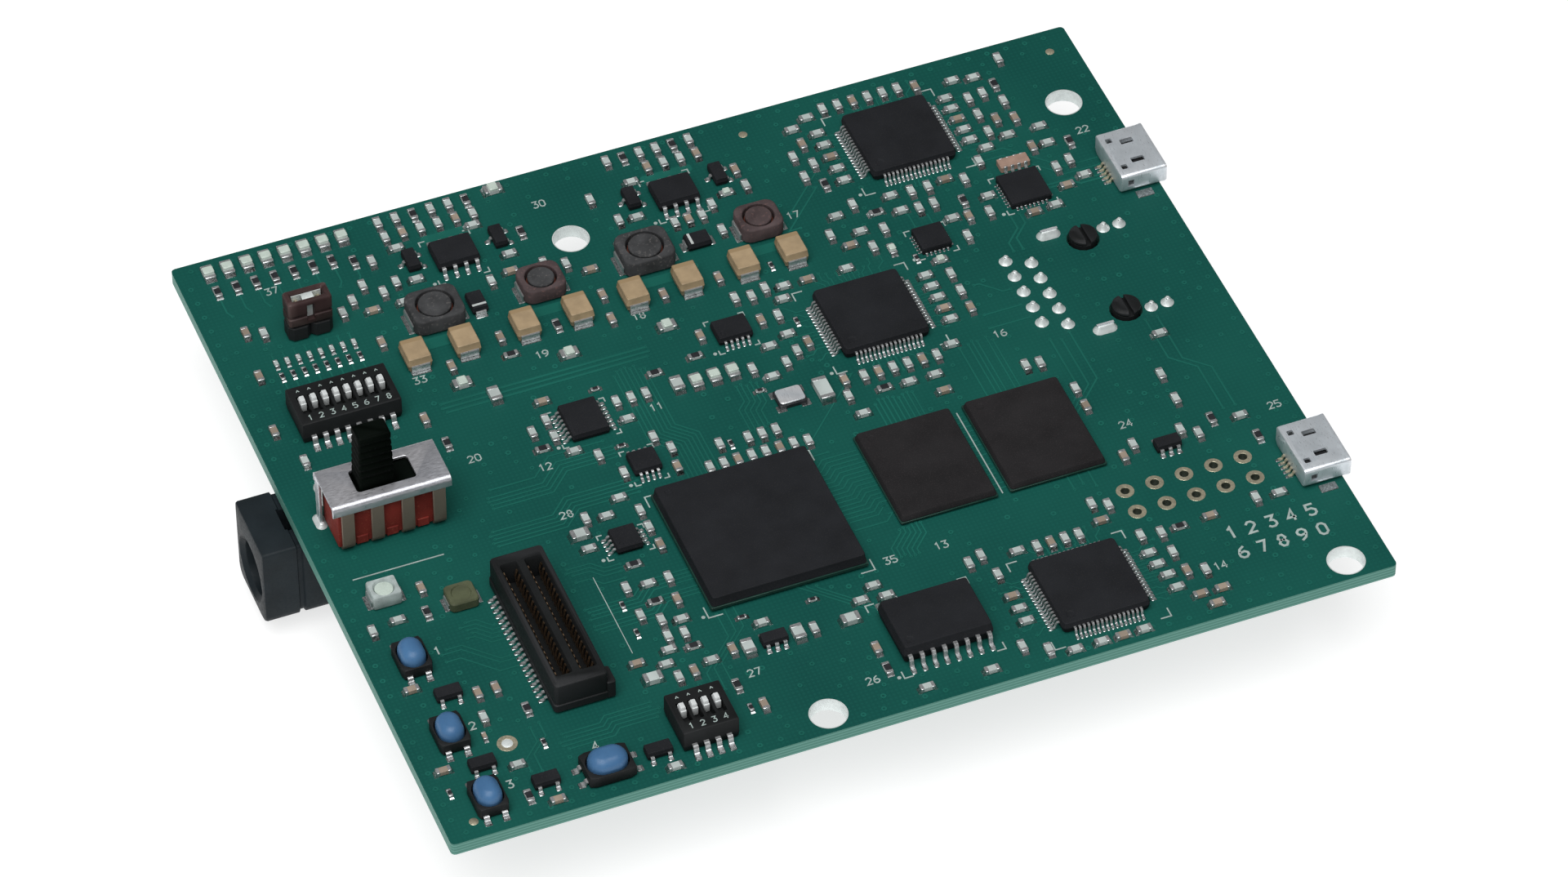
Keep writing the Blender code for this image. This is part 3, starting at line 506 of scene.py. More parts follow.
M_LENS = finish("milky_lens", (0.50, 0.58, 0.52), rough=0.26, spec=0.4, tone=0.06, patch=900.0, grain=5000.0, relief=0.1)
M_LAMP_BODY = finish("lamp_body", (0.38, 0.435, 0.425), rough=0.34, spec=0.4, tone=0.22, patch=900.0, grain=5000.0, relief=0.2)
M_LAMP_GREEN = finish("lamp_green", (0.12, 0.36, 0.08), rough=0.25, spec=0.5, tone=0.12, patch=700.0, grain=4000.0, relief=0.1)
M_LAMP_AMBER = finish("lamp_amber", (0.60, 0.28, 0.04), rough=0.25, spec=0.5, tone=0.12, patch=700.0, grain=4000.0, relief=0.1)

NODES["pcb"].data.materials.clear()
NODES["pcb"].data.materials.append(M_BOARD)

# ================================================================ shells shared by many small parts
tin, solder, bright, gold = Shape(), Shape(), Shape(), Shape()
mould, black, white = Shape(), Shape(), Shape()
ceramic, film, chipcap, chipgrey, lens = Shape(), Shape(), Shape(), Shape(), Shape()
silk, copper, copper_under, silk_under = Shape(), Shape(), Shape(), Shape()

# ground already taken on the component side, as boxes in board millimetres
taken = []
for name, ob in NODES.items():
    lo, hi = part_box(name)
    if name != "pcb" and hi.z * 1000 > TOP + 0.3 and not name.startswith("network"):
        taken.append((lo.x * 1000 + L / 2, lo.y * 1000 + W / 2, hi.x * 1000 + L / 2, hi.y * 1000 + W / 2))
for hx in (42.4, 101.2):
    for hy in (2.6, 78.2):
        taken.append((hx - 2.6, hy - 2.6, hx + 2.6, hy + 2.6))
for i in range(5):
    for ry in (17.25, 20.5):
        rx = 83.6 + 3.42 * i
        taken.append((rx - 1.0, ry - 1.0, rx + 1.0, ry + 1.0))
taken.append((84.3, 44.6, 88.9, 58.6))
for s in (-1, 1):
    taken.append((92.6, 51.5 + s * 5.9 - 2.0, 96.6, 51.5 + s * 5.9 + 2.0))
    taken.append((89.7, 51.5 + s * 7.85 - 0.9, 92.9, 51.5 + s * 7.85 + 0.9))
    taken.append((96.5, 51.5 + s * 6.6 - 0.9, 100.1, 51.5 + s * 6.6 + 0.9))
refused = []


def claim(x, y, sx, sy, gap=0.12, what=""):
    """True, and the ground is taken, if nothing stands there yet."""
    b = (x - sx / 2 - gap, y - sy / 2 - gap, x + sx / 2 + gap, y + sy / 2 + gap)
    if b[0] < 0.4 or b[1] < 0.4 or b[2] > L - 0.4 or b[3] > W - 0.4:
        refused.append((what, x, y))
        return False
    for t in taken:
        if b[0] < t[2] and b[2] > t[0] and b[1] < t[3] and b[3] > t[1]:
            refused.append((what, x, y))
            return False
    taken.append(b)
    return True


# ================================================================ parts of electronic packages
def moulded(s, sx, sy, z0, z1, draft=0.1, r=0.2, c=0.05, part=None, dimple=None):
    """Moulded case with a parting line; dimple is an index mark sunk in its top: (x, y, radius)."""
    zm = part if part is not None else (z0 + z1) / 2
    at = lambda d, z: level(outline(sx - 2 * d, sy - 2 * d, max(r - 0.3 * d, 0.02), 2, 6), z)
    rows = [at(draft + c, z0), at(draft, z0 + c), at(0.012, zm - 0.05), at(0.0, zm - 0.02), at(0.0, zm + 0.02), at(0.012, zm + 0.05),
            at(draft, z1 - c), at(draft + c, z1)]
    if dimple:
        x, y, q = dimple
        base = outline(sx - 2 * (draft + c), sy - 2 * (draft + c), r, 2, 6)
        rows += [round_ring(base, x, y, q, z1), round_ring(base, x, y, q * 0.86, z1 - 0.05), round_ring(base, x, y, q * 0.5, z1 - 0.06)]
    s.rings(rows)


def pad(s, cx, cy, sx, sy, h=0.07):
    """Solder on a land."""
    s.rings([level(outline(sx, sy, 0.09, 1, 1, cx, cy), -0.01), level(outline(sx, sy, 0.09, 1, 1, cx, cy), 0.4 * h),
             level(outline(sx - 0.1, sy - 0.1, 0.06, 1, 1, cx, cy), h)])


def gull(s, x, y, dx, dy, w, reach, zb, t, inner=0.3):
    """Gull-wing lead leaving a case wall at (x, y) towards (dx, dy)."""
    f = 0.05 + t / 2
    drop = zb - f
    path = [(-inner, zb), (0.20 * reach, zb), (0.29 * reach, zb - 0.10 * drop), (0.36 * reach, zb - 0.35 * drop),
            (0.44 * reach, f + 0.14 * drop), (0.54 * reach, f + 0.02), (0.64 * reach, f), (reach, f)]
    s.ribbon([(x + dx * u, y + dy * u, z) for u, z in path], (-dy, dx, 0), w, t)


def lead_rows(s, land, half_x, half_y, nx, ny, pitch, w, reach, zb, t):
    """Leads along y walls (nx of them on each) and along x walls (ny on each), with their solder."""
    for i in range(nx):
        u = pitch * (i - (nx - 1) / 2)
        for d in (-1, 1):
            gull(s, u, d * half_y, 0, d, w, reach, zb, t)
            pad(land, u, d * (half_y + 0.78 * reach + 0.05), w + 0.1, 0.62 * reach)
    for i in range(ny):
        u = pitch * (i - (ny - 1) / 2)
        for d in (-1, 1):
            gull(s, d * half_x, u, d, 0, w, reach, zb, t)
            pad(land, d * (half_x + 0.78 * reach + 0.05), u, 0.62 * reach, w + 0.1)


def corner_marks(x, y, sx, sy, leg=1.0, w=0.15, dot=True):
    """Silkscreen corner ticks around a part, with an index dot."""
    for ax, ay in ((1, 1), (-1, 1), (-1, -1), (1, -1)):
        cx, cy = x + ax * sx / 2, y + ay * sy / 2
        silk.track([(cx - ax * leg, cy), (cx, cy), (cx, cy - ay * leg)], w, TOP - 0.01, TOP + 0.055)
    if dot:
        silk.lathe(x - sx / 2 - 0.5, y - sy / 2 + 0.3, [(0.22, TOP - 0.01), (0.22, TOP + 0.055)], 10)


STROKES = {
    "0": [[(0, 0.2), (0, 0.8), (0.18, 1), (0.42, 1), (0.6, 0.8), (0.6, 0.2), (0.42, 0), (0.18, 0)]],
    "1": [[(0.12, 0.8), (0.34, 1), (0.34, 0)]],
    "2": [[(0, 0.8), (0.18, 1), (0.42, 1), (0.6, 0.82), (0.6, 0.62), (0, 0), (0.6, 0)]],
    "3": [[(0, 1), (0.58, 1), (0.3, 0.6), (0.5, 0.55), (0.6, 0.38), (0.6, 0.16), (0.42, 0), (0.16, 0), (0, 0.14)]],
    "4": [[(0.44, 0), (0.44, 1), (0, 0.32), (0.62, 0.32)]],
    "5": [[(0.58, 1), (0.04, 1), (0, 0.56), (0.36, 0.6), (0.6, 0.42), (0.6, 0.18), (0.42, 0), (0.16, 0), (0, 0.12)]],
    "6": [[(0.5, 1), (0.16, 0.78), (0, 0.42), (0, 0.18), (0.18, 0), (0.42, 0), (0.6, 0.18), (0.6, 0.38), (0.42, 0.54), (0.06, 0.46)]],
    "7": [[(0, 1), (0.6, 1), (0.2, 0)]],
    "8": [[(0.18, 0.54), (0.03, 0.72), (0.18, 1), (0.42, 1), (0.57, 0.72), (0.42, 0.54), (0.6, 0.28), (0.42, 0), (0.18, 0), (0, 0.28)],
          [(0.14, 0.54), (0.46, 0.54)]],
    "9": [[(0.1, 0), (0.44, 0.22), (0.6, 0.58), (0.6, 0.82), (0.42, 1), (0.18, 1), (0, 0.82), (0, 0.62), (0.18, 0.46), (0.54, 0.54)]],
}


def digits(s, text, x, y, h, z0, z1, w=0.13, turn=0.0, closed_zero=True):
    """Plain numerals in ink strokes, centred at (x, y)."""
    step = 0.86 * h
    c, q = math.cos(math.radians(turn)), math.sin(math.radians(turn))
    for k, ch in enumerate(text):
        ox = (k - (len(text) - 1) / 2) * step - 0.3 * h
        for stroke in STROKES[ch]:
            pts = []
            for u, v in stroke:
                px, py = ox + u * h, (v - 0.5) * h
                pts.append((x + px * c - py * q, y + px * q + py * c))
            s.track(pts, w, z0, z1, closed=(ch in "08" and len(stroke) > 4))


# ================================================================ chip passives
SIZES = {"0402": (1.0, 0.5, 0.36), "0603": (1.6, 0.8, 0.48), "0805": (2.0, 1.25, 0.62), "1206": (3.2, 1.6, 0.70)}
n_passive = 0


def passive(x, y, kind="r", size="0603", turn=0, under=False, mark=False):
    """Chip resistor (r), tan or pale ceramic capacitor (c, g) or small lamp (l) with its solder."""
    global n_passive
    lx, ly, h = SIZES[size]
    ex = lx + 0.5
    bx, by = (ly, ex) if turn % 180 else (ex, ly)
    if not under and not claim(x, y, bx, by, 0.1, kind + size):
        return
    n_passive += 1
    body = {"r": ceramic, "c": chipcap, "g": chipgrey, "l": ceramic}[kind]
    seat(x, y, turn, body, film, tin, solder, lens, under=under)
    e = 0.24 * lx if size != "1206" else 0.5
    if kind == "c" or kind == "g":
        h *= 1.3
    body.block(0, 0, 0.06, h - 0.02, lx - 0.14, ly - 0.05, 0.05, 0.03)
    for s in (-1, 1):
        tin.block(s * (lx / 2 - e / 2), 0, 0.03, h, e, ly, 0.07, 0.045)
        a = lx / 2
        # fillet: a wedge of solder from the land up the end face
        solder.rings([
            [(s * (a + 0.30), -ly / 2 - 0.03, -0.01), (s * (a + 0.30), ly / 2 + 0.03, -0.01),
             (s * (a - 0.10), ly / 2 + 0.03, -0.01), (s * (a - 0.10), -ly / 2 - 0.03, -0.01)],
            [(s * (a + 0.28), -ly / 2, 0.05), (s * (a + 0.28), ly / 2, 0.05),
             (s * (a - 0.08), ly / 2, 0.05), (s * (a - 0.08), -ly / 2, 0.05)],
            [(s * (a + 0.10), -ly / 2 + 0.04, 0.40 * h), (s * (a + 0.10), ly / 2 - 0.04, 0.40 * h),
             (s * (a - 0.06), ly / 2 - 0.04, 0.40 * h), (s * (a - 0.06), -ly / 2 + 0.04, 0.40 * h)],
            [(s * (a + 0.025), -ly / 2 + 0.08, 0.80 * h), (s * (a + 0.025), ly / 2 - 0.08, 0.80 * h),
             (s * (a - 0.05), ly / 2 - 0.08, 0.80 * h), (s * (a - 0.05), -ly / 2 + 0.08, 0.80 * h)],
        ])
    if kind == "r":
        film.block(0, 0, h - 0.06, h + 0.015, lx - 2 * e + 0.04, ly - 0.08, 0.04, 0.02)
    if kind == "l":
        lens.block(0, 0, h - 0.12, h + 0.32, lx - 2 * e - 0.02, ly - 0.06, 0.12, 0.1, seg=2)
    if mark and not under:
        q = ly / 2 + 0.26
        c, sn = math.cos(math.radians(turn)), math.sin(math.radians(turn))
        for s in (-1, 1):
            p = [(u * c - s * q * sn + x, u * sn + s * q * c + y) for u in (-0.24 * lx, 0.24 * lx)]
            silk.track(p, 0.13, TOP - 0.01, TOP + 0.055)


def sot(x, y, turn=0, pins=3):
    """Small transistor package with three, five or six leads."""
    if not claim(x, y, 3.0 if turn % 180 == 0 else 2.6, 2.6 if turn % 180 == 0 else 3.0, 0.05, "sot"):
        return
    seat(x, y, turn, mould, tin, solder)
    moulded(mould, 2.9, 1.5, 0.1, 1.1, 0.06, 0.12, 0.05, 0.55)
    for d, xs in ((-1, (-0.95, 0.95) if pins == 3 else (-0.95, 0, 0.95)), (1, (0,) if pins == 3 else (-0.95, 0.95) if pins == 5 else (-0.95, 0, 0.95))):
        for u in xs:
            gull(tin, u, d * 0.75, 0, d, 0.4, 0.55, 0.55, 0.14, 0.2)
            pad(solder, u, d * 1.2, 0.6, 0.62)


def diode(x, y, turn=0, sx=2.7, sy=1.7, h=1.1):
    """Surface-mounted rectifier with folded end tabs and a cathode bar."""
    if not claim(x, y, sx + 0.8 if turn % 180 == 0 else sy, sy if turn % 180 == 0 else sx + 0.8, 0.05, "diode"):
        return
    seat(x, y, turn, mould, tin, solder, ceramic)
    moulded(mould, sx, sy, 0.1, h, 0.1, 0.12, 0.05, 0.5 * h)
    for s in (-1, 1):
        tin.ribbon([(s * (sx / 2 - 0.2), 0, 0.5 * h), (s * (sx / 2 + 0.05), 0, 0.5 * h), (s * (sx / 2 + 0.12), 0, 0.42 * h),
                    (s * (sx / 2 + 0.12), 0, 0.14), (s * (sx / 2 + 0.04), 0, 0.07), (s * (sx / 2 - 0.5), 0, 0.07)], (0, 1, 0), 0.62 * sy, 0.1)
        pad(solder, s * (sx / 2 + 0.2), 0, 0.7, 0.62 * sy + 0.2)
    ceramic.block(-sx / 2 + 0.55, 0, h - 0.03, h + 0.012, 0.3, sy - 0.3, 0.03, 0.01)


def leaded(x, y, sx, sy, h, nx, ny, pitch, reach, w=0.3, t=0.14, dimple=True, what="chip"):
    """Small leaded chip that has no solid of its own."""
    fx, fy = sx + (2 * reach if ny else 0), sy + (2 * reach if nx else 0)
    if not claim(x, y, fx, fy, 0.05, what):
        return
    seat(x, y, 0, mould, tin, solder)
    moulded(mould, sx, sy, 0.12, h, 0.09, 0.15, 0.05, 0.5 * h, (-sx / 2 + 0.7, -sy / 2 + 0.7, 0.26) if dimple else None)
    lead_rows(tin, solder, sx / 2, sy / 2, nx, ny, pitch, w, reach, 0.5 * h, t)
    corner_marks(x, y, fx + 0.6, fy + 0.6, 0.6)


def leadless(x, y, s, h, n, pitch, what="chip"):
    """Flat no-lead chip with lands along its four walls."""
    if not claim(x, y, s + 0.7, s + 0.7, 0.05, what):
        return
    seat(x, y, 0, mould, tin, solder)
    moulded(mould, s, s, 0.03, h, 0.03, 0.08, 0.04, 0.7 * h, (-s / 2 + 0.65, -s / 2 + 0.65, 0.22))
    for i in range(n):
        u = pitch * (i - (n - 1) / 2)
        for d in (-1, 1):
            tin.block(u, d * (s / 2 - 0.1), 0.02, 0.22, 0.26, 0.26, 0.02, 0.02)
            tin.block(d * (s / 2 - 0.1), u, 0.02, 0.22, 0.26, 0.26, 0.02, 0.02)
            pad(solder, u, d * (s / 2 + 0.14), 0.3, 0.42, 0.1)
            pad(solder, d * (s / 2 + 0.14), u, 0.42, 0.3, 0.1)
    corner_marks(x, y, s + 1.2, s + 1.2, 0.7)


# ================================================================ 1. large chips
def ball_grid(name, x, y, sx, sy, z_ball, z_sub, h, mat, pitch, inset):
    cap, sub, balls = Shape(), Shape(), Shape()
    seat(x, y, 0, cap, sub, balls)
    moulded(cap, sx - 2 * inset, sy - 2 * inset, z_sub - 0.02, h, 0.16, 0.35, 0.07, z_sub + 0.06, (-sx / 2 + 1.5, sy / 2 - 1.5, 0.5))
    sub.block(0, 0, z_ball, z_sub, sx, sy, 0.12, 0.03)
    nx, ny = int((sx - 0.9) / pitch) + 1, int((sy - 0.9) / pitch) + 1
    for i in range(nx):
        for j in range(ny):
            if 2 <= i < nx - 2 and 2 <= j < ny - 2:
                continue
            u, v = pitch * (i - (nx - 1) / 2), pitch * (j - (ny - 1) / 2)
            q = z_ball / 2
            balls.lathe(u, v, [(0.16, -0.01), (0.24, 0.3 * q), (0.28, q), (0.24, 1.7 * q), (0.17, 2 * q + 0.01)], 8)
    cap.make(name + "_cap", mat, stands_for=name, slot="chip_mould")
    sub.make(name + "_substrate", M_SUBSTRATE, stands_for=name, slot="chip_mould")
    balls.make(name + "_balls", M_SOLDER, stands_for=name)
    if name == "processor":
        corner_marks(x, y, sx + 1.0, sy + 1.0, 1.6)


ball_grid("processor", 45.2, 29.1, 17.8, 17.8, 0.34, 0.74, 1.95, M_MOULD, 1.0, 0.12)
ball_grid("memory_left", 65.1, 31.3, 11.2, 13.7, 0.26, 0.50, 1.2, M_MOULD_WARM, 0.8, 0.10)
ball_grid("memory_right", 77.7, 31.4, 11.2, 13.7, 0.26, 0.50, 1.2, M_MOULD_WARM, 0.8, 0.10)

for name, (x, y) in {"qfp_rear": (81.6, 79.1), "qfp_mid": (68.3, 54.6), "qfp_front": (74.3, 8.7)}.items():
    case, leads, land = Shape(), Shape(), Shape()
    seat(x, y, 0, case, leads, land)
    moulded(case, 10.0, 10.0, 0.12, 1.5, 0.14, 0.45, 0.06, 0.82, (-3.7, -3.7, 0.55))
    lead_rows(leads, land, 5.0, 5.0, 16, 16, 0.5, 0.24, 1.0, 0.85, 0.14)
    case.make(name + "_case", M_MOULD, stands_for=name, slot="chip_mould")
    leads.make(name + "_leads", M_TIN, stands_for=name)
    land.make(name + "_solder", M_SOLDER)
    corner_marks(x, y, 13.2, 13.2, 1.2)

case, leads, land = Shape(), Shape(), Shape()
seat(57.3, 9.7, 0, case, leads, land)
moulded(case, 10.2, 7.5, 0.15, 2.4, 0.22, 0.3, 0.07, 1.28, (-4.0, -2.6, 0.55))
lead_rows(leads, land, 5.1, 3.75, 8, 0, 1.27, 0.44, 1.4, 1.3, 0.25)
case.make("flash_memory_case", M_MOULD, stands_for="flash_memory", slot="chip_mould")
leads.make("flash_memory_leads", M_TIN, stands_for="flash_memory")
land.make("flash_memory_solder", M_SOLDER)
corner_marks(57.3, 9.7, 11.4, 11.0, 1.0)

for name, (x, y) in {"regulator_left": (29.5, 80.2), "regulator_right": (55.3, 80.2)}.items():
    case, leads, land = Shape(), Shape(), Shape()
    seat(x, y, 0, case, leads, land)
    moulded(case, 4.9, 3.9, 0.12, 1.5, 0.14, 0.2, 0.06, 0.82, (-1.8, -1.3, 0.32))
    lead_rows(leads, land, 2.45, 1.95, 4, 0, 1.27, 0.42, 1.05, 0.85, 0.2)
    case.make(name + "_case", M_MOULD, stands_for=name, slot="chip_mould")
    leads.make(name + "_leads", M_TIN, stands_for=name)
    land.make(name + "_solder", M_SOLDER)
    corner_marks(x, y, 5.8, 7.0, 0.7)

# ================================================================ 2. coils and tantalum capacitors
for i, ((x, y), sx, sy, h) in enumerate((((24.4, 72.2), 5.9, 5.1, 2.3), ((36.6, 72.0), 4.9, 4.4, 2.1),
                                         ((48.8, 72.2), 5.9, 5.1, 2.3), ((62.1, 72.1), 4.9, 4.4, 2.1))):
    name = "inductor_%d" % (i + 1)
    shield, drum, wind, clip, land = Shape(), Shape(), Shape(), Shape(), Shape()
    seat(x, y, 0, shield, drum, wind, clip, land)
    r = sy / 2 - 0.42
    ol = outline(sx, sy, 1.1, 4, 5)
    ins = lambda d: outline(sx - 2 * d, sy - 2 * d, 1.1 - 0.4 * d, 4, 5)
    # shield: square outside, round window above, closed floor
    shield.rings([level(ins(0.12), 0.22), level(ins(0.0), 0.36), level(ins(0.0), h - 0.22), level(ins(0.07), h - 0.08), level(ins(0.2), h),
                  round_ring(ol, 0, 0, r + 0.08, h), round_ring(ol, 0, 0, r, h - 0.1), round_ring(ol, 0, 0, r, 0.7)])
    drum.lathe(0, 0, [(r - 0.75, 0.68), (r - 0.75, h - 0.75), (r - 0.3, h - 0.62), (r - 0.28, h - 0.16), (r - 0.38, h - 0.04), (r - 1.1, h + 0.0)], 28)
    # winding turns seen in the gap between drum and shield
    for k in range(4):
        z = h - 0.78 - 0.24 * k
        wind.rings([[((r - 0.26 + 0.13 * math.cos(2 * math.pi * j / 6)) * math.cos(2 * math.pi * q / 28),
                      (r - 0.26 + 0.13 * math.cos(2 * math.pi * j / 6)) * math.sin(2 * math.pi * q / 28),
                      z + 0.13 * math.sin(2 * math.pi * j / 6)) for j in range(6)] for q in range(28)], loop=True)
    for s in (-1, 1):
        clip.ribbon([(s * (sx / 2 - 0.15), 0, 0.95), (s * (sx / 2 + 0.07), 0, 0.95), (s * (sx / 2 + 0.12), 0, 0.86), (s * (sx / 2 + 0.12), 0, 0.2),
                     (s * (sx / 2 + 0.05), 0, 0.1), (s * (sx / 2 - 0.9), 0, 0.1)], (0, 1, 0), 0.56 * sy, 0.16)
        pad(land, s * (sx / 2 + 0.15), 0, 0.8, 0.6 * sy, 0.1)
    warm = i in (1, 3)
    shield.make(name + "_shield", M_FERRITE_RED if warm else M_FERRITE, stands_for=name, slot="coil_shield")
    drum.make(name + "_drum", M_FERRITE_RED if i == 3 else M_FERRITE, stands_for=name, slot="coil_shield")
    wind.make(name + "_winding", M_VARNISH, stands_for=name)
    clip.make(name + "_terminals", M_TIN, stands_for=name)
    land.make(name + "_solder", M_SOLDER)

for i, x in enumerate((20.2, 25.8, 32.8, 38.9, 45.4, 51.7, 58.3, 63.9)):
    name = "tantalum_%d" % (i + 1)
    case, tabs, land = Shape(), Shape(), Shape()
    seat(x, 66.8, 0, case, tabs, land)
    moulded(case, 2.8, 3.5, 0.18, 1.95, 0.13, 0.18, 0.09, 1.0)
    for s in (-1, 1):
        tabs.ribbon([(0, s * 1.45, 1.0), (0, s * 1.76, 1.0), (0, s * 1.81, 0.92), (0, s * 1.81, 0.2), (0, s * 1.74, 0.11), (0, s * 0.95, 0.11)],
                    (1, 0, 0), 2.1, 0.12)
        pad(land, 0, s * 1.85, 2.3, 0.8, 0.12)
    case.make(name + "_case", M_TANT, stands_for=name, slot="tantalum_case")
    tabs.make(name + "_tabs", M_TIN, stands_for=name)
    land.make(name + "_solder", M_SOLDER)

# ================================================================ 3. power jack
JF, JY, JAX = -4.3, 51.5, -6.5
house = Shape()
hw, zt, zb = 4.5, -0.3, -11.1
zc, hz = (zt + zb) / 2, (zt - zb) / 2


def jack_ring(x, d, n_side=5):
    """Outline of the housing across its length: square at the board, rounded below."""
    pts = []
    for cy, cz, r, start in ((hw, zt, 0.35, 0), (-hw, zt, 0.35, 90), (-hw, zb, 1.3, 180), (hw, zb, 1.3, 270)):
        ay, az = (1 if cy > 0 else -1), (1 if cz == zt else -1)
        seg = [(cy - ay * (r + d) + r * math.cos(math.radians(start + 90.0 * i / 4)), cz - az * (r + d) + r * math.sin(math.radians(start + 90.0 * i / 4)))
               for i in range(5)]
        pts.append(seg)
    out = []
    for k in range(4):
        out += pts[k]
        a, b = pts[k][-1], pts[(k + 1) % 4][0]
        for i in range(1, n_side):
            t = i / n_side
            out.append((a[0] + (b[0] - a[0]) * t, a[1] + (b[1] - a[1]) * t))
    return [(x, JY + p[0], p[1]) for p in out]


def jack_circle(x, r):
    out = []
    for _, y, z in jack_ring(0, 0):
        d = math.hypot(y - JY, z - JAX)
        out.append((x, JY + (y - JY) / d * r, JAX + (z - JAX) / d * r))
    return out


house.rings([jack_ring(JF + 14.2, 0.25), jack_ring(JF + 13.95, 0.0), jack_ring(JF + 4.6, 0.0), jack_ring(JF + 4.45, 0.22), jack_ring(JF + 4.0, 0.22),
             jack_ring(JF + 3.85, 0.0), jack_ring(JF + 0.3, 0.0), jack_ring(JF + 0.08, 0.08), jack_ring(JF, 0.3),
             jack_circle(JF, 3.75), jack_circle(JF + 0.12, 3.62), jack_circle(JF + 0.5, 3.2), jack_circle(JF + 0.7, 3.15), jack_circle(JF + 9.6, 3.15),
             jack_circle(JF + 9.6, 1.35), jack_circle(JF + 9.2, 1.3)])
slot = Shape()
slot.plain(JF + 3.6, JF + 9.4, JY - 1.6, JY + 1.6, JAX + 1.0, 1.0)
house.make("jack_housing_body", M_JACK, stands_for="jack_housing", slot="black_plastic", cuts=[slot])
pin, blade = Shape(), Shape()
pin.lathe_x(JY, JAX, [(JF + 1.55, 0.25), (JF + 1.6, 0.55), (JF + 1.8, 0.82), (JF + 2.1, 0.96), (JF + 2.4, 1.0), (JF + 9.3, 1.0)], 24)
pin.make("jack_centre_pin", M_TIN, stands_for="jack_pin", slot="contact_metal")
blade.ribbon([(JF + 14.5, JY, JAX - 1.6), (JF + 14.5, JY, -0.4), (JF + 14.5, JY, 1.7), (JF + 14.5, JY, 2.6)], (0, 1, 0), 2.6, 0.6)
blade.lathe_x(JY, JAX, [(JF + 14.1, 0.9), (JF + 14.75, 0.9), (JF + 14.95, 0.7)], 20)
blade.make("jack_pin_blade", M_TIN, stands_for="jack_pin", slot="contact_metal")
leaf = Shape()
leaf.ribbon([(JF + 8.85, JY, 2.6), (JF + 8.85, JY, JAX + 3.6), (JF + 8.7, JY, JAX + 3.28), (JF + 8.4, JY, JAX + 3.12), (JF + 4.8, JY, JAX + 2.36),
             (JF + 4.5, JY, JAX + 2.34), (JF + 3.95, JY, JAX + 2.75)], (0, 1, 0), 2.4, 0.3)
leaf.make("jack_sleeve_spring", M_TIN, stands_for="jack_spring", slot="contact_metal")


def mound(s, cx, cy, sx, sy, h):
    """Solder drawn up around a terminal."""
    k = min(sx, sy)
    s.rings([level(outline(sx, sy, 0.48 * k, 4, 2, cx, cy), -0.01), level(outline(sx - 0.04 * k, sy - 0.04 * k, 0.46 * k, 4, 2, cx, cy), 0.10 * h),
             level(outline(sx - 0.28 * k, sy - 0.28 * k, 0.34 * k, 4, 2, cx, cy), 0.38 * h),
             level(outline(sx - 0.46 * k, sy - 0.46 * k, 0.25 * k, 4, 2, cx, cy), 0.72 * h),
             level(outline(sx - 0.62 * k, sy - 0.62 * k, 0.17 * k, 4, 2, cx, cy), 0.95 * h),
             level(outline(sx - 0.74 * k, sy - 0.74 * k, 0.11 * k, 4, 2, cx, cy), h)])


seat(0, 0, 0, bright)
mound(bright, 4.55, JY, 2.0, 4.2, 0.8)
mound(bright, 10.2, JY, 2.4, 4.6, 0.85)

# ================================================================ 4. slide switch
SX, SY = 9.1, 45.7
hx, hy, H, w = 6.65, 3.2, 7.0, 0.35
CRIMPS = (-5.0, -1.7, 1.7, 5.2)
base = Shape()
seat(SX, SY, 0, base)
base.block(0, 0, 0.45, H - w - 0.85, 12.0, 5.2, 0.25, 0.12, seg=2)
for k in (-3.35, 0.0, 3.45):
    # moulded steps on the front and back walls between the crimps
    for d in (-1, 1):
        base.block(k, d * 2.52, 0.4, 1.5, 1.3, 0.42, 0.06, 0.05)
well = Shape()
seat(SX, SY, 0, well)
well.plain(-4.6, 4.6, -1.9, 1.9, 2.2, H)
base.make("switch_base_body", M_RED, stands_for="switch_base", slot="red_phenolic", cuts=[well])
legs = Shape()
seat(SX, SY, 0, legs)
for k in (-1, 0, 1):
    legs.ribbon([(3.0 * k, 0.0, 0.7), (3.0 * k, 0.0, -2.3), (3.0 * k, 0.0, -2.8)], (1, 0, 0), 0.8, 0.4)
legs.make("switch_terminals", M_TIN, stands_for="switch_base")

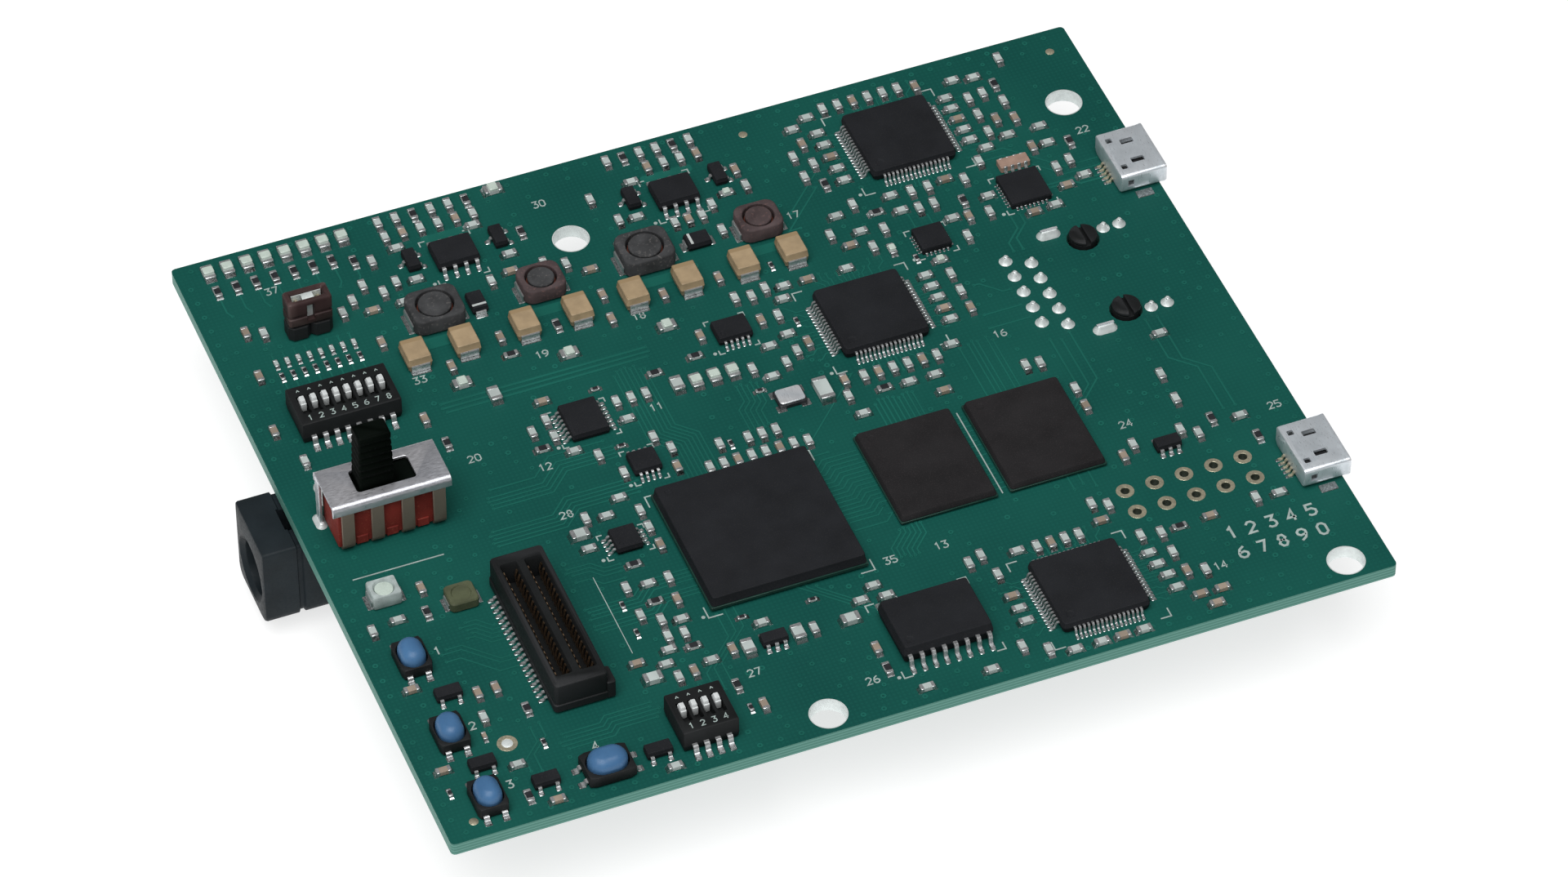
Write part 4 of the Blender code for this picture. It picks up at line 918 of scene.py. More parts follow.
fold, crimp, lug = Shape(), Shape(), Shape()
seat(SX, SY, 0, fold, crimp, lug)
rr = 0.42
prof = [(-hy + w / 2, H - 1.3), (-hy + w / 2, H - w / 2 - rr)]
prof += [(-hy + w / 2 + rr - rr * math.cos(math.radians(18 * k)), H - w / 2 - rr + rr * math.sin(math.radians(18 * k))) for k in range(1, 6)]
prof += [(-a, b) for a, b in reversed(prof)]
fold.ribbon([(0, a, b) for a, b in prof], (1, 0, 0), 2 * hx, w)
win = Shape()
seat(SX, SY, 0, win)
win.rings([level(outline(6.6, 3.3, 0.35, 3, 1), z) for z in (H - 1.0, H + 1.0)])
for d in (-1, 1):
    for cx in CRIMPS:
        crimp.ribbon([(cx, d * (hy - w / 2), H - 0.9), (cx, d * (hy - w / 2), 1.25), (cx, d * (hy - w / 2 - 0.03), 0.95), (cx, d * (hy - w / 2 - 0.16), 0.66),
                      (cx, d * (hy - w / 2 - 0.42), 0.42), (cx, d * (hy - w / 2 - 0.7), 0.34)], (1, 0, 0), 1.4, w - 0.04)
    lug.ribbon([(d * (hx - 1.2), 2.2, H - w / 2 - 0.02), (d * (hx - 0.62), 2.2, H - w / 2 - 0.02), (d * (hx - 0.34), 2.2, H - w / 2 - 0.12),
                  (d * (hx - w / 2 - 0.02), 2.2, H - w / 2 - 0.42), (d * (hx - w / 2), 2.2, H - 0.9), (d * (hx - w / 2), 2.2, -0.5), (d * (hx - w / 2), 2.2, -1.4)],
                 (0, 1, 0), 1.2, w - 0.04)
fold.make("switch_frame_cover", M_STEEL, stands_for="switch_frame", slot="tinned_steel", cuts=[win], bevel=(0.06, 2))
crimp.make("switch_frame_crimps", M_CRIMP, stands_for="switch_frame", slot="tinned_steel", bevel=(0.04, 1))
lug.make("switch_frame_lugs", M_STEEL, stands_for="switch_frame", slot="tinned_steel", bevel=(0.04, 1))
seat(0, 0, 0, bright)
for d in (-1, 1):
    mound(bright, SX + d * 6.475, SY + 2.2, 1.3, 2.4, 0.5)

lever = Shape()
seat(SX - 1.0, SY, 0, lever)
lx, ly, lt = 4.0, 2.8, 14.2
# near-black foot in the well and near-black sheet under the cover plate: the actuator's own parts, also painted shade
# standing in for the shadowed red well seen through the window
foot, sheet = Shape(), Shape()
seat(SX - 1.0, SY, 0, foot, sheet)
foot.block(0, 0, 2.9, H - w - 0.42, 5.4, 3.3, 0.15, 0.08)
sheet.block(0, 0, H - w - 0.54, H - w - 0.26, 9.3, 4.8, 0.2, 0.05)
rows = [level(outline(lx - 0.02, ly - 0.02, 0.25, 3, 1), 3.4), level(outline(lx - 0.02, ly - 0.02, 0.25, 3, 1), H + 0.6)]
for k in range(6):
    z = H + 1.15 + 0.92 * k
    d = 0.02 + 0.025 * k
    rows += [level(outline(lx - 2 * d, ly - 2 * d, 0.25, 3, 1), z), level(outline(lx - 2 * d - 0.16, ly - 2 * d - 0.16, 0.22, 3, 1), z + 0.16),
             level(outline(lx - 2 * d - 0.16, ly - 2 * d - 0.16, 0.22, 3, 1), z + 0.40), level(outline(lx - 2 * d - 0.02, ly - 2 * d - 0.02, 0.25, 3, 1), z + 0.56)]
rows += [level(outline(lx - 0.30, ly - 0.30, 0.25, 3, 1), lt - 0.38), level(outline(lx - 0.46, ly - 0.46, 0.24, 3, 1), lt - 0.14),
         level(outline(lx - 0.85, ly - 0.85, 0.2, 3, 1), lt)]
lever.rings(rows)
lever.make("switch_lever_knob", M_LEVER, body="lever", stands_for="switch_lever", slot="black_plastic", joins=[sheet, foot])
NODES["switch_wiper"].data.materials.clear()
NODES["switch_wiper"].data.materials.append(M_TIN)


# ================================================================ 5. coding switches
def coding_switch(name, x, y, ways):
    p, dy, h = 1.27, 5.9, 2.9
    sx = p * ways + 1.1
    body, leads, land, ink = Shape(), Shape(), Shape(), Shape()
    seat(x, y, 0, body, leads, land, ink)
    at = lambda d, z: level(outline(sx - 2 * d, dy - 2 * d, 0.12, 2, 1), z)
    body.rings([at(0.16, 0.12), at(0.10, 0.2), at(0.0, 0.95), at(0.0, 1.0), at(0.02, 1.04), at(0.02, h - 0.16), at(0.06, h - 0.06), at(0.16, h)])
    win = Shape()
    seat(x, y, 0, win)
    for i in range(ways):
        cx = p * (i - (ways - 1) / 2)
        win.plain(cx - 0.47, cx + 0.47, -1.35, 1.35, h - 1.2, h + 1)
        gull_y = dy / 2
        for d in (-1, 1):
            gull(leads, cx, d * gull_y, 0, d, 0.56, 1.3, 1.0, 0.22)
            pad(land, cx, d * (gull_y + 1.05), 0.72, 0.95, 0.1)
        digits(ink, str(i + 1), cx, -2.08, 0.72, h - 0.02, h + 0.02, 0.11)
        ink.track([(cx - 0.16, 2.0), (cx, 2.25), (cx + 0.16, 2.0)], 0.1, h - 0.02, h + 0.02)
    body.make(name + "_case", M_BLACK, stands_for=name + "_body", slot="black_plastic", cuts=[win])
    leads.make(name + "_leads", M_TIN, stands_for=name + "_body")
    land.make(name + "_solder", M_SOLDER)
    ink.make(name + "_numerals", M_SILK)
    ry = 1.35 - 0.13 - 0.6
    for i in range(ways):
        cx = p * (i - (ways - 1) / 2)
        s = Shape()
        seat(x + cx, y + ry, 0, s)
        o = lambda a, b, z: level(outline(a, b, 0.08, 2, 1), z)
        s.rings([o(0.62, 1.16, h - 1.05), o(0.66, 1.2, h - 1.0), o(0.66, 1.2, h - 0.1), o(0.64, 1.18, h - 0.02), o(0.60, 0.92, h + 0.02),
                 o(0.58, 0.84, h + 0.28), o(0.50, 0.74, h + 0.38), o(0.36, 0.6, h + 0.4)])
        s.make("%s_actuator_%d" % (name, i + 1), M_WHITE, body="%s_way_%d" % (name, i + 1), stands_for="%s_slider_%d" % (name, i + 1),
               slot="white_actuator")


coding_switch("dip8", 10.4, 62.2, 8)
coding_switch("dip4", 29.6, 5.9, 4)


# ================================================================ 6. data connectors on the component side
def data_socket(name, x, y):
    hx, hy, w = 2.7, 3.75, 0.28
    z0, z1 = 0.15, 2.75
    c = 0.6
    shell, tongue, pins, land = Shape(), Shape(), Shape(), Shape()
    seat(x, y, 0, shell, tongue, pins, land)

    def mouth(d, f):
        """Section of the socket: square at the top, drawn in below."""
        a, lo, hi = hy - d + f, z0 + d - f, z1 - d + f
        r = max(0.42 - d, 0.12)
        pts = [(-a + c, lo), (a - c, lo), (a - 0.28, lo + 0.14), (a, lo + c)]
        pts += [(a - r + r * math.cos(math.radians(22.5 * k)), hi - r + r * math.sin(math.radians(22.5 * k))) for k in range(5)]
        pts += [(-a + r - r * math.sin(math.radians(22.5 * k)), hi - r + r * math.cos(math.radians(22.5 * k))) for k in range(5)]
        pts += [(-a, lo + c), (-a + 0.28, lo + 0.14)]
        return pts
    sec = lambda u, d, f: [(u, p[0], p[1]) for p in mouth(d, f)]
    shell.rings([sec(-hx, 0.14, 0), sec(-hx + 0.05, 0.04, 0), sec(-hx + 0.16, 0, 0), sec(hx - 0.75, 0, 0), sec(hx - 0.45, 0, 0.01), sec(hx - 0.12, 0, 0.05),
                 sec(hx, 0.05, 0.07), sec(hx, w - 0.06, 0.07), sec(hx - 0.1, w, 0.05), sec(hx - 0.45, w, 0.01), sec(hx - 0.75, w, 0.0), sec(-hx + w, w, 0)])
    cut = Shape()
    seat(x, y, 0, cut)
    for s in (-1, 1):
        cut.rings([level(outline(1.5, 0.75, 0.1, 2, 1, 0.1, s * 1.55), z) for z in (z1 - 0.6, z1 + 0.6)])
        cut.plain(-1.9, -1.2, s * hy - 0.5, s * hy + 0.5, 1.1, 2.0)
        cut.rings([level(outline(0.7, 0.7, 0.1, 2, 1, -1.75, s * 2.2), z) for z in (z1 - 0.6, z1 + 0.6)])
    for s in (-1, 1):
        # soldered ears
        shell.ribbon([(-0.1, s * (hy - 0.15), 0.9), (-0.1, s * (hy + 0.0), 0.62), (-0.1, s * (hy + 0.12), 0.42), (-0.1, s * (hy + 0.3), 0.26),
                      (-0.1, s * (hy + 0.7), 0.2)], (1, 0, 0), 1.5, 0.22)
        pad(land, -0.1, s * (hy + 0.55), 2.0, 1.1, 0.13)
    shell.make(name + "_cover", M_SHELL, stands_for=name + "_shell", slot="tinned_steel", cuts=[cut])
    tongue.block(-1.5, 0, z0 + 0.5, z1 - 0.5, 1.4, 5.1, 0.1, 0.06)
    tongue.block(0.35, 0, z0 + 1.35, z1 - 0.65, 3.0, 4.1, 0.08, 0.06)
    tongue.make(name + "_insulator", M_BLACK, stands_for=name + "_tongue", slot="black_plastic")
    for k in range(5):
        u = 0.65 * (k - 2)
        pins.ribbon([(-1.2, u, z0 + 1.33), (0.2, u, z0 + 1.31), (1.4, u, z0 + 1.30), (1.6, u, z0 + 1.34)], (0, 1, 0), 0.34, 0.06)
        gull(pins, -hx + 0.12, u, -1, 0, 0.34, 0.85, 0.5, 0.12, 0.4)
        pad(land, -hx - 0.6, u, 0.85, 0.42, 0.09)
    pins.make(name + "_contacts", M_GOLD, stands_for=name + "_tongue")
    land.make(name + "_solder", M_SOLDER)
    taken.append((x - hx - 1.3, y - 2.0, x - hx, y + 2.0))


data_socket("usb_rear", 103.9, 65.8)
data_socket("usb_front", 104.0, 17.3)

# ================================================================ 7. board-to-board socket
MX, MY, mw, ml, mh = 19.1, 22.8, 6.1, 20.0, 4.1
sock = Shape()
seat(MX, MY, 0, sock)
at = lambda d, z: level(outline(mw - 2 * d, ml - 2 * d, 0.4, 3, 1), z)
sock.rings([at(0.1, 0.22), at(0.0, 0.35), at(0.0, 1.2), at(0.10, 1.3), at(0.10, mh - 0.35), at(0.16, mh - 0.14), at(0.34, mh)])
key = Shape()
seat(MX, MY, 0, key)
key.block(mw / 2 + 0.2, -ml / 2 + 1.2, 0.25, 2.6, 1.0, 2.4, 0.2, 0.1, seg=2)
rooms = Shape()
seat(MX, MY, 0, rooms)
for s in (-1, 1):
    rooms.rings([level(outline(1.6, ml - 3.4, 0.2, 2, 1, s * 1.35, 0), z) for z in (1.1, mh - 0.35)]
                + [level(outline(1.95, ml - 3.05, 0.3, 2, 1, s * 1.35, 0), z) for z in (mh + 0.02, mh + 0.6)])
sock.make("mezzanine_housing", M_BLACK, stands_for="mezzanine_socket", slot="black_plastic", joins=[key], cuts=[rooms])
blades, tails, tland = Shape(), Shape(), Shape()
seat(MX, MY, 0, blades, tails, tland)
for k in range(20):
    v = 0.8 * (k - 9.5)
    for s in (-1, 1):
        for d in (-1, 1):
            cx = s * 1.35 + d * 0.66
            blades.ribbon([(cx + d * 0.05, v, 1.15), (cx, v, 1.6), (cx - d * 0.16, v, 2.7), (cx - d * 0.04, v, 3.35), (cx + d * 0.06, v, 3.62)], (0, 1, 0), 0.34, 0.1)
        gull(tails, s * mw / 2, v, s, 0, 0.34, 0.75, 0.42, 0.14, 0.3)
        pad(tland, s * (mw / 2 + 0.62), v, 0.7, 0.42, 0.08)
blades.make("mezzanine_contacts", finish("contact_bronze", (0.40, 0.27, 0.17), rough=0.4, metal=1.0, tone=0.16, patch=900.0, grain=4000.0),
            stands_for="mezzanine_socket", slot="contact_metal")
tails.make("mezzanine_tails", M_TIN, stands_for="mezzanine_socket")
tland.make("mezzanine_solder", M_SOLDER)
taken.append((MX - 4.3, MY - 10.4, MX + 4.3, MY + 10.4))

# ================================================================ 8. network jack under the board
EY, EX0, EX1 = 51.5, 83.5, 106.2
for n_, mat_ in (("network_shell", M_SHELL), ("network_insert", M_BLACK)):
    ob = NODES[n_]
    ob.data.materials.clear()
    ob.data.materials.append(mat_)
    weld = ob.modifiers.new("join", "WELD")
    weld.merge_threshold = 0.000002
    soften(ob, 0.12 if n_ == "network_shell" else 0.08, 2, 50)
wires, lampg, lampa, fingers = Shape(), Shape(), Shape(), Shape()
for k in range(8):
    v = EY + 1.02 * (k - 3.5)
    wires.ribbon([(EX1 - 1.6, v, -3.05), (EX1 - 2.2, v, -3.32), (EX1 - 3.0, v, -3.7), (EX1 - 9.0, v, -6.4), (EX1 - 9.6, v, -6.5), (EX1 - 10.1, v, -6.2),
                  (EX1 - 11.5, v, -4.4), (EX1 - 13.0, v, -3.1)], (0, 1, 0), 0.46, 0.2)
wires.make("network_contacts", M_GOLD)
for s, lamp in ((-1, lampg), (1, lampa)):
    lamp.m = Matrix.Translation((EX1 - 0.15, EY + s * 6.72, -1.9)) @ Matrix.Rotation(math.pi / 2, 4, "Y")
    lamp.block(0, 0, -0.3, 0.12, 2.2, 1.2, 0.25, 0.1, seg=3)
lampg.make("network_lamp_left", M_LAMP_GREEN)
lampa.make("network_lamp_right", M_LAMP_AMBER)
for s in (-1, 1):
    for zc_ in (-4.6, -8.6):
        fingers.ribbon([(EX1 - 0.3, EY + s * 8.02, zc_), (EX1 - 1.2, EY + s * 8.12, zc_), (EX1 - 2.6, EY + s * 8.32, zc_), (EX1 - 3.6, EY + s * 8.28, zc_),
                        (EX1 - 5.4, EY + s * 8.0, zc_), (EX1 - 5.9, EY + s * 7.9, zc_)], (0, 0, 1), 1.6, 0.16)
for v in (EY - 4.2, EY + 4.2):
    fingers.ribbon([(EX1 - 0.3, v, -13.68), (EX1 - 2.0, v, -13.67), (EX1 - 5.0, v, -13.66), (EX1 - 5.6, v, -13.5)], (0, 1, 0), 1.8, 0.05)
fingers.make("network_shell_springs", M_SHELL)

# joints of the jack on the component side
seat(0, 0, 0, bright, tin, solder, black)


def joint(s, x, y, r, h):
    """Soldered pin: a cone of solder with the cut pin in its tip."""
    s.lathe(x, y, [(r, TOP - 0.02), (r, TOP + 0.05), (0.90 * r, TOP + 0.14 * h), (0.68 * r, TOP + 0.38 * h), (0.50 * r, TOP + 0.66 * h),
                   (0.36 * r, TOP + 0.90 * h), (0.22 * r, TOP + h)], 16)


bright.m = tin.m = solder.m = black.m = None
for i in range(5):
    for px, off in ((85.3, 0.635), (87.84, -0.635)):
        joint(bright, px, EY + 2.54 * (i - 2) + off, 0.76, 0.85)
for s in (-1, 1):
    for px in (97.3, 99.2):
        joint(bright, px, EY + s * 6.6, 0.74, 0.85)
    bright.m = Matrix.Translation((0, 0, TOP))
    mound(bright, 91.3, EY + s * 7.85, 2.8, 1.5, 0.8)
    bright.m = None
    # locating peg, its top split and swollen to grip the board
    for d in (-1, 1):
        half = [(1.45 * math.cos(t), 1.45 * math.sin(t)) for t in [math.radians(-78 + 156.0 * k / 12) for k in range(13)]]
        pts = [(94.6 + d * max(px_, 0.28), EY + s * 5.9 + d * py_) for px_, py_ in half]
        grow = lambda q, z: [(94.6 + (a - 94.6) * q + d * 0.0, EY + s * 5.9 + (b_ - EY - s * 5.9) * q, z) for a, b_ in pts]
        black.rings([grow(0.98, 1.2), grow(1.03, 1.95), grow(1.10, 2.15), grow(1.08, 2.35), grow(0.9, 2.55), grow(0.7, 2.6)])

# ================================================================ 9. push buttons
for k, (x, y, across, kf) in enumerate(((4.8, 25.2, False, 1.0), (4.9, 13.9, False, 1.0), (5.5, 4.2, False, 1.0), (18.4, 3.7, True, 1.17))):
    name = "button_%d" % (k + 1)
    bl, bs, cl, cs = 4.4 * kf, 3.4 * kf, 3.7 * kf, 2.7 * kf
    bx, by = (bl, bs) if across else (bs, bl)
    body, cap, legs_, land = Shape(), Shape(), Shape(), Shape()
    seat(x, y, 0, body, cap, legs_, land)
    inner = stadium(cl + 0.3, cs + 0.3, 12, across)

    def matched(d, z):
        """Rectangle wall with one point beside each point of the well's outline."""
        ax, ay = bx / 2 - d, by / 2 - d
        out = []
        for px, py in inner:
            q = min(ax / abs(px) if abs(px) > 1e-6 else 1e9, ay / abs(py) if abs(py) > 1e-6 else 1e9)
            out.append((px * q, py * q, z))
        return out
    body.rings([matched(0.06, 0.15), matched(0.0, 0.25), matched(0.0, 1.36), matched(0.05, 1.47), matched(0.1, 1.5),
                level(stadium(cl + 0.38, cs + 0.38, 12, across), 1.5), level(inner, 1.42), level(inner, 0.55)])
    body.make(name + "_case", M_BLACK, stands_for=name + "_base", slot="black_plastic")
    rows = [level(stadium(cl, cs, 12, across), 0.95), level(stadium(cl, cs, 12, across), 1.62)]
    for t in (10, 22, 34, 46, 58, 70, 80):
        e = math.radians(t)
        sh = 1.16 * (1 - math.cos(e))
        rows.append(level(stadium(cl - 2 * sh, cs - 2 * sh, 12, across), 1.62 + 1.18 * math.sin(e)))
    cap.rings(rows)
    cap.make(name + "_dome", M_BLUE, body=name, stands_for=name + "_cap", slot="blue_cap", smooth=50)
    for sx_ in (-1, 1):
        for sy_ in (-1, 1):
            if across:
                gull(legs_, sx_ * bl / 2, sy_ * 1.0, sx_, 0, 0.6, 0.7, 0.5, 0.16, 0.25)
                pad(land, sx_ * (bl / 2 + 0.6), sy_ * 1.0, 0.8, 0.8, 0.1)
            else:
                gull(legs_, sx_ * 1.0, sy_ * bl / 2, 0, sy_, 0.6, 0.7, 0.5, 0.16, 0.25)
                pad(land, sx_ * 1.0, sy_ * (bl / 2 + 0.6), 0.8, 0.8, 0.1)
    legs_.make(name + "_legs", M_TIN, stands_for=name + "_base")
    land.make(name + "_solder", M_SOLDER)
    taken.append((x - bx / 2 - (1.1 if across else 0.1), y - by / 2 - (0.1 if across else 1.1), x + bx / 2 + (1.1 if across else 0.1),
                  y + by / 2 + (0.1 if across else 1.1)))

# ================================================================ 10. jumper
JX, JYY = 11.0, 75.4
head, pins, shunt, bridge = Shape(), Shape(), Shape(), Shape()
seat(JX, JYY, 0, head, pins, shunt, bridge)
for s in (-1, 1):
    c = 0.5
    o = lambda d, z: [(s * 1.27 + a, b, z) for a, b in outline(2.52 - 2 * d, 2.5 - 2 * d, c, 1, 1)]
    head.rings([o(0.06, 0.2), o(0.0, 0.28), o(0.0, 1.9), o(0.08, 2.0)])
    q = lambda d, z: [(s * 1.27 + a, b, z) for a, b in outline(0.64 - 2 * d, 0.64 - 2 * d, 0.04, 1, 1)]
    pins.rings([q(0.16, -3.0), q(0.0, -2.6), q(0.0, 4.55), q(0.08, 4.8), q(0.2, 5.0)])
head.block(0, 0, 0.45, 1.75, 0.5, 1.2, 0.05, 0.03)
head.make("jumper_header_body", M_BLACK, stands_for="jumper_header", slot="black_plastic")
pins.make("jumper_pins", M_GOLD, stands_for="jumper_header", slot="contact_metal")
ol = outline(5.0, 2.44, 0.3, 3, 6)
o = lambda d, z: level(outline(5.0 - 2 * d, 2.44 - 2 * d, 0.3, 3, 6), z)
i_ = lambda d, z: level(outline(3.6 + 2 * d, 1.1 + 2 * d, 0.12, 3, 6), z)
shunt.rings([i_(0, 2.25), o(0.06, 2.25), o(0.0, 2.35), o(0.0, 3.3), o(0.12, 3.4), o(0.12, 3.75), o(0.0, 3.85), o(0.0, 5.3), o(0.05, 5.48), o(0.18, 5.6),
             i_(0.14, 5.6), i_(0.0, 5.4)], loop=True)
slit = Shape()
seat(JX, JYY, 0, slit)
slit.plain(-0.42, 0.42, -1.5, -0.52, 2.8, 5.05)
shunt.make("jumper_shunt_body", M_SHUNT, body="shunt", stands_for="jumper_shunt", slot="black_plastic", cuts=[slit])
for d in (-1, 1):
    bridge.ribbon([(-1.7, d * 0.47, 3.9), (1.7, d * 0.47, 3.9)], (0, 0, 1), 2.8, 0.09)
bridge.ribbon([(0, -0.47, 5.15), (0, -0.40, 5.3), (0, -0.2, 5.36), (0, 0.2, 5.36), (0, 0.40, 5.3), (0, 0.47, 5.15)], (1, 0, 0), 1.3, 0.12)
bridge.make("jumper_shunt_bridge", M_BRIGHT, body="shunt")

# joints under the board: switch terminals and jumper pins
under_joint = Shape()
for s in (-1, 1):
    under_joint.lathe(JX + s * 1.27, JYY, [(0.30, -1.25), (0.42, -1.0), (0.62, -0.5), (0.95, -0.12), (1.02, 0.02)], 16)
for k in (-1, 0, 1):
    under_joint.m = Matrix.Translation((SX + 3.0 * k, SY, 0)) @ Matrix.Rotation(math.pi, 4, "X")
    mound(under_joint, 0, 0, 2.0, 1.6, 0.9)
    under_joint.m = None
under_joint.make("underside_joints", M_BRIGHT)

# ================================================================ 11. plated holes and test lands
barrel = Shape()
for i in range(5):
    for ry in (17.25, 20.5):
        rx = 83.6 + 3.42 * i
        gold.ring(rx, ry, 0.5, 1.0, TOP - 0.01, TOP + 0.05, 20, 0.02)
        gold.ring(rx, ry, 0.5, 1.0, -0.05, 0.01, 20)
        # barrel in the dark olive hole-wall colour: painted shade inside the hole
        barrel.ring(rx, ry, 0.44, 0.52, 0.0, TOP, 20)
gold.ring(10.1, 11.0, 0.60, 1.1, TOP - 0.01, TOP + 0.05, 24, 0.02)
bright.lathe(10.1, 11.0, [(0.61, TOP - 0.02), (0.61, TOP + 0.03), (0.45, TOP + 0.08), (0.2, TOP + 0.1)], 20)
for hx_ in (42.4, 101.2):
    for hy_ in (2.6, 78.2):
        # plated barrel of a mounting hole
        bright.ring(hx_, hy_, 1.97, 2.08, -0.012, TOP + 0.012, 40)
taken.append((8.7, 9.5, 11.7, 12.5))
for fx, fy in ((3.2, 2.2), (103.0, 86.4), (66.0, 86.6)):
    gold.lathe(fx, fy, [(0.5, TOP - 0.01), (0.5, TOP + 0.03), (0.46, TOP + 0.045)], 18)
    taken.append((fx - 1.2, fy - 1.2, fx + 1.2, fy + 1.2))

# ================================================================ 12. small chips and passives of each part of the board
leaded(33.7, 51.2, 4.3, 5.0, 1.2, 0, 7, 0.65, 0.85, 0.28)
leaded(37.5, 43.0, 3.2, 3.0, 1.1, 4, 0, 0.65, 0.85, 0.28)
leaded(31.6, 33.1, 3.0, 3.2, 1.1, 0, 4, 0.65, 0.8, 0.28)
leaded(53.4, 58.0, 4.0, 3.0, 1.2, 5, 0, 0.65, 0.8, 0.28)
leadless(79.0, 63.2, 3.5, 0.95, 6, 0.5)
leadless(91.5, 66.8, 4.8, 0.95, 8, 0.5)
sot(40.9, 14.1, 0, 5)
sot(90.4, 24.9, 0, 6)
for x, y, t in ((24.8, 81.0, 90), (34.9, 81.0, 90), (50.6, 81.2, 90), (60.9, 81.3, 90), (6.7, 19.4, 0), (6.6, 8.9, 0), (11.9, 4.4, 0), (24.1, 4.0, 0)):
    sot(x, y, t)
diode(29.2, 72.2, 90, 2.8, 1.9)
diode(55.0, 72.3, 0, 2.8, 2.0)

# lamp by the left edge: white case with a round lens
if claim(5.2, 34.9, 3.6, 3.4, 0.1, "lamp"):
    case, well_l = Shape(), Shape()
    seat(5.2, 34.9, 0, case, well_l, tin, solder, lens)
    o5 = outline(3.2, 2.8, 0.2, 2, 6)
    case.rings([level(outline(3.0, 2.6, 0.15, 2, 6), 0.1), level(o5, 0.3), level(o5, 1.6), level(outline(3.06, 2.66, 0.18, 2, 6), 1.8),
                round_ring(o5, 0, 0, 1.2, 1.8), round_ring(o5, 0, 0, 1.0, 1.35)])
    case.make("lamp_case", M_LAMP_BODY)
    lens.lathe(0, 0, [(0.99, 1.3), (0.99, 1.56), (0.8, 1.62), (0.4, 1.66)], 20)
    for s in (-1, 1):
        tin.ribbon([(s * 1.4, 0, 0.9), (s * 1.66, 0, 0.9), (s * 1.70, 0, 0.8), (s * 1.70, 0, 0.16), (s * 1.5, 0, 0.07), (s * 1.0, 0, 0.07)], (0, 1, 0), 1.8, 0.12)
        pad(solder, s * 1.8, 0, 0.7, 2.1, 0.1)

# olive potted part near the lamp
if claim(12.6, 31.6, 4.0, 3.4, 0.1, "olive"):
    case = Shape()
    seat(12.6, 31.6, 0, case, tin, solder)
    o6 = outline(3.2, 3.0, 0.5, 3, 5)
    case.rings([level(outline(3.0, 2.8, 0.4, 3, 5), 0.1), level(o6, 0.25), level(o6, 1.2), level(outline(3.0, 2.8, 0.45, 3, 5), 1.35),
                round_ring(o6, 0, 0, 1.1, 1.35), round_ring(o6, 0, 0, 1.0, 1.2)])
    case.make("potted_coil", M_OLIVE)
    for s in (-1, 1):
        tin.ribbon([(s * 1.45, 0, 0.7), (s * 1.66, 0, 0.7), (s * 1.70, 0, 0.6), (s * 1.70, 0, 0.14), (s * 1.5, 0, 0.07), (s * 0.9, 0, 0.07)], (0, 1, 0), 1.6, 0.1)
        pad(solder, s * 1.8, 0, 0.6, 1.9, 0.1)

# pale brown filter behind the small square chip
if claim(92.0, 70.95, 4.0, 1.7, 0.05, "filter"):
    case = Shape()
    seat(92.0, 70.95, 0, case, tin, solder)
    case.block(0, 0, 0.05, 0.85, 3.5, 1.5, 0.1, 0.06, seg=2)
    case.make("filter_case", finish("filter_ceramic", (0.34, 0.225, 0.175), rough=0.55, spec=0.35, tone=0.14, patch=900.0, grain=5000.0, relief=0.25))
    for k in range(4):
        for s in (-1, 1):
            tin.block(0.8 * (k - 1.5), s * 0.70, 0.03, 0.87, 0.4, 0.16, 0.03, 0.03)
            pad(solder, 0.8 * (k - 1.5), s * 0.92, 0.46, 0.5, 0.1)

# crystal with a metal lid
if claim(55.6, 46.4, 3.8, 3.1, 0.05, "crystal"):
    case, lid = Shape(), Shape()
    seat(55.6, 46.4, 0, case, lid, solder)
    case.block(0, 0, 0.04, 0.55, 3.2, 2.5, 0.2, 0.05, seg=2)
    case.make("crystal_base", M_FILM)
    lid.block(0, 0, 0.54, 0.80, 2.9, 2.2, 0.35, 0.07, seg=3)
    lid.make("crystal_lid", M_SHELL)
    for ax in (-1, 1):
        for ay in (-1, 1):
            pad(solder, ax * 1.4, ay * 1.1, 1.1, 1.0, 0.1)

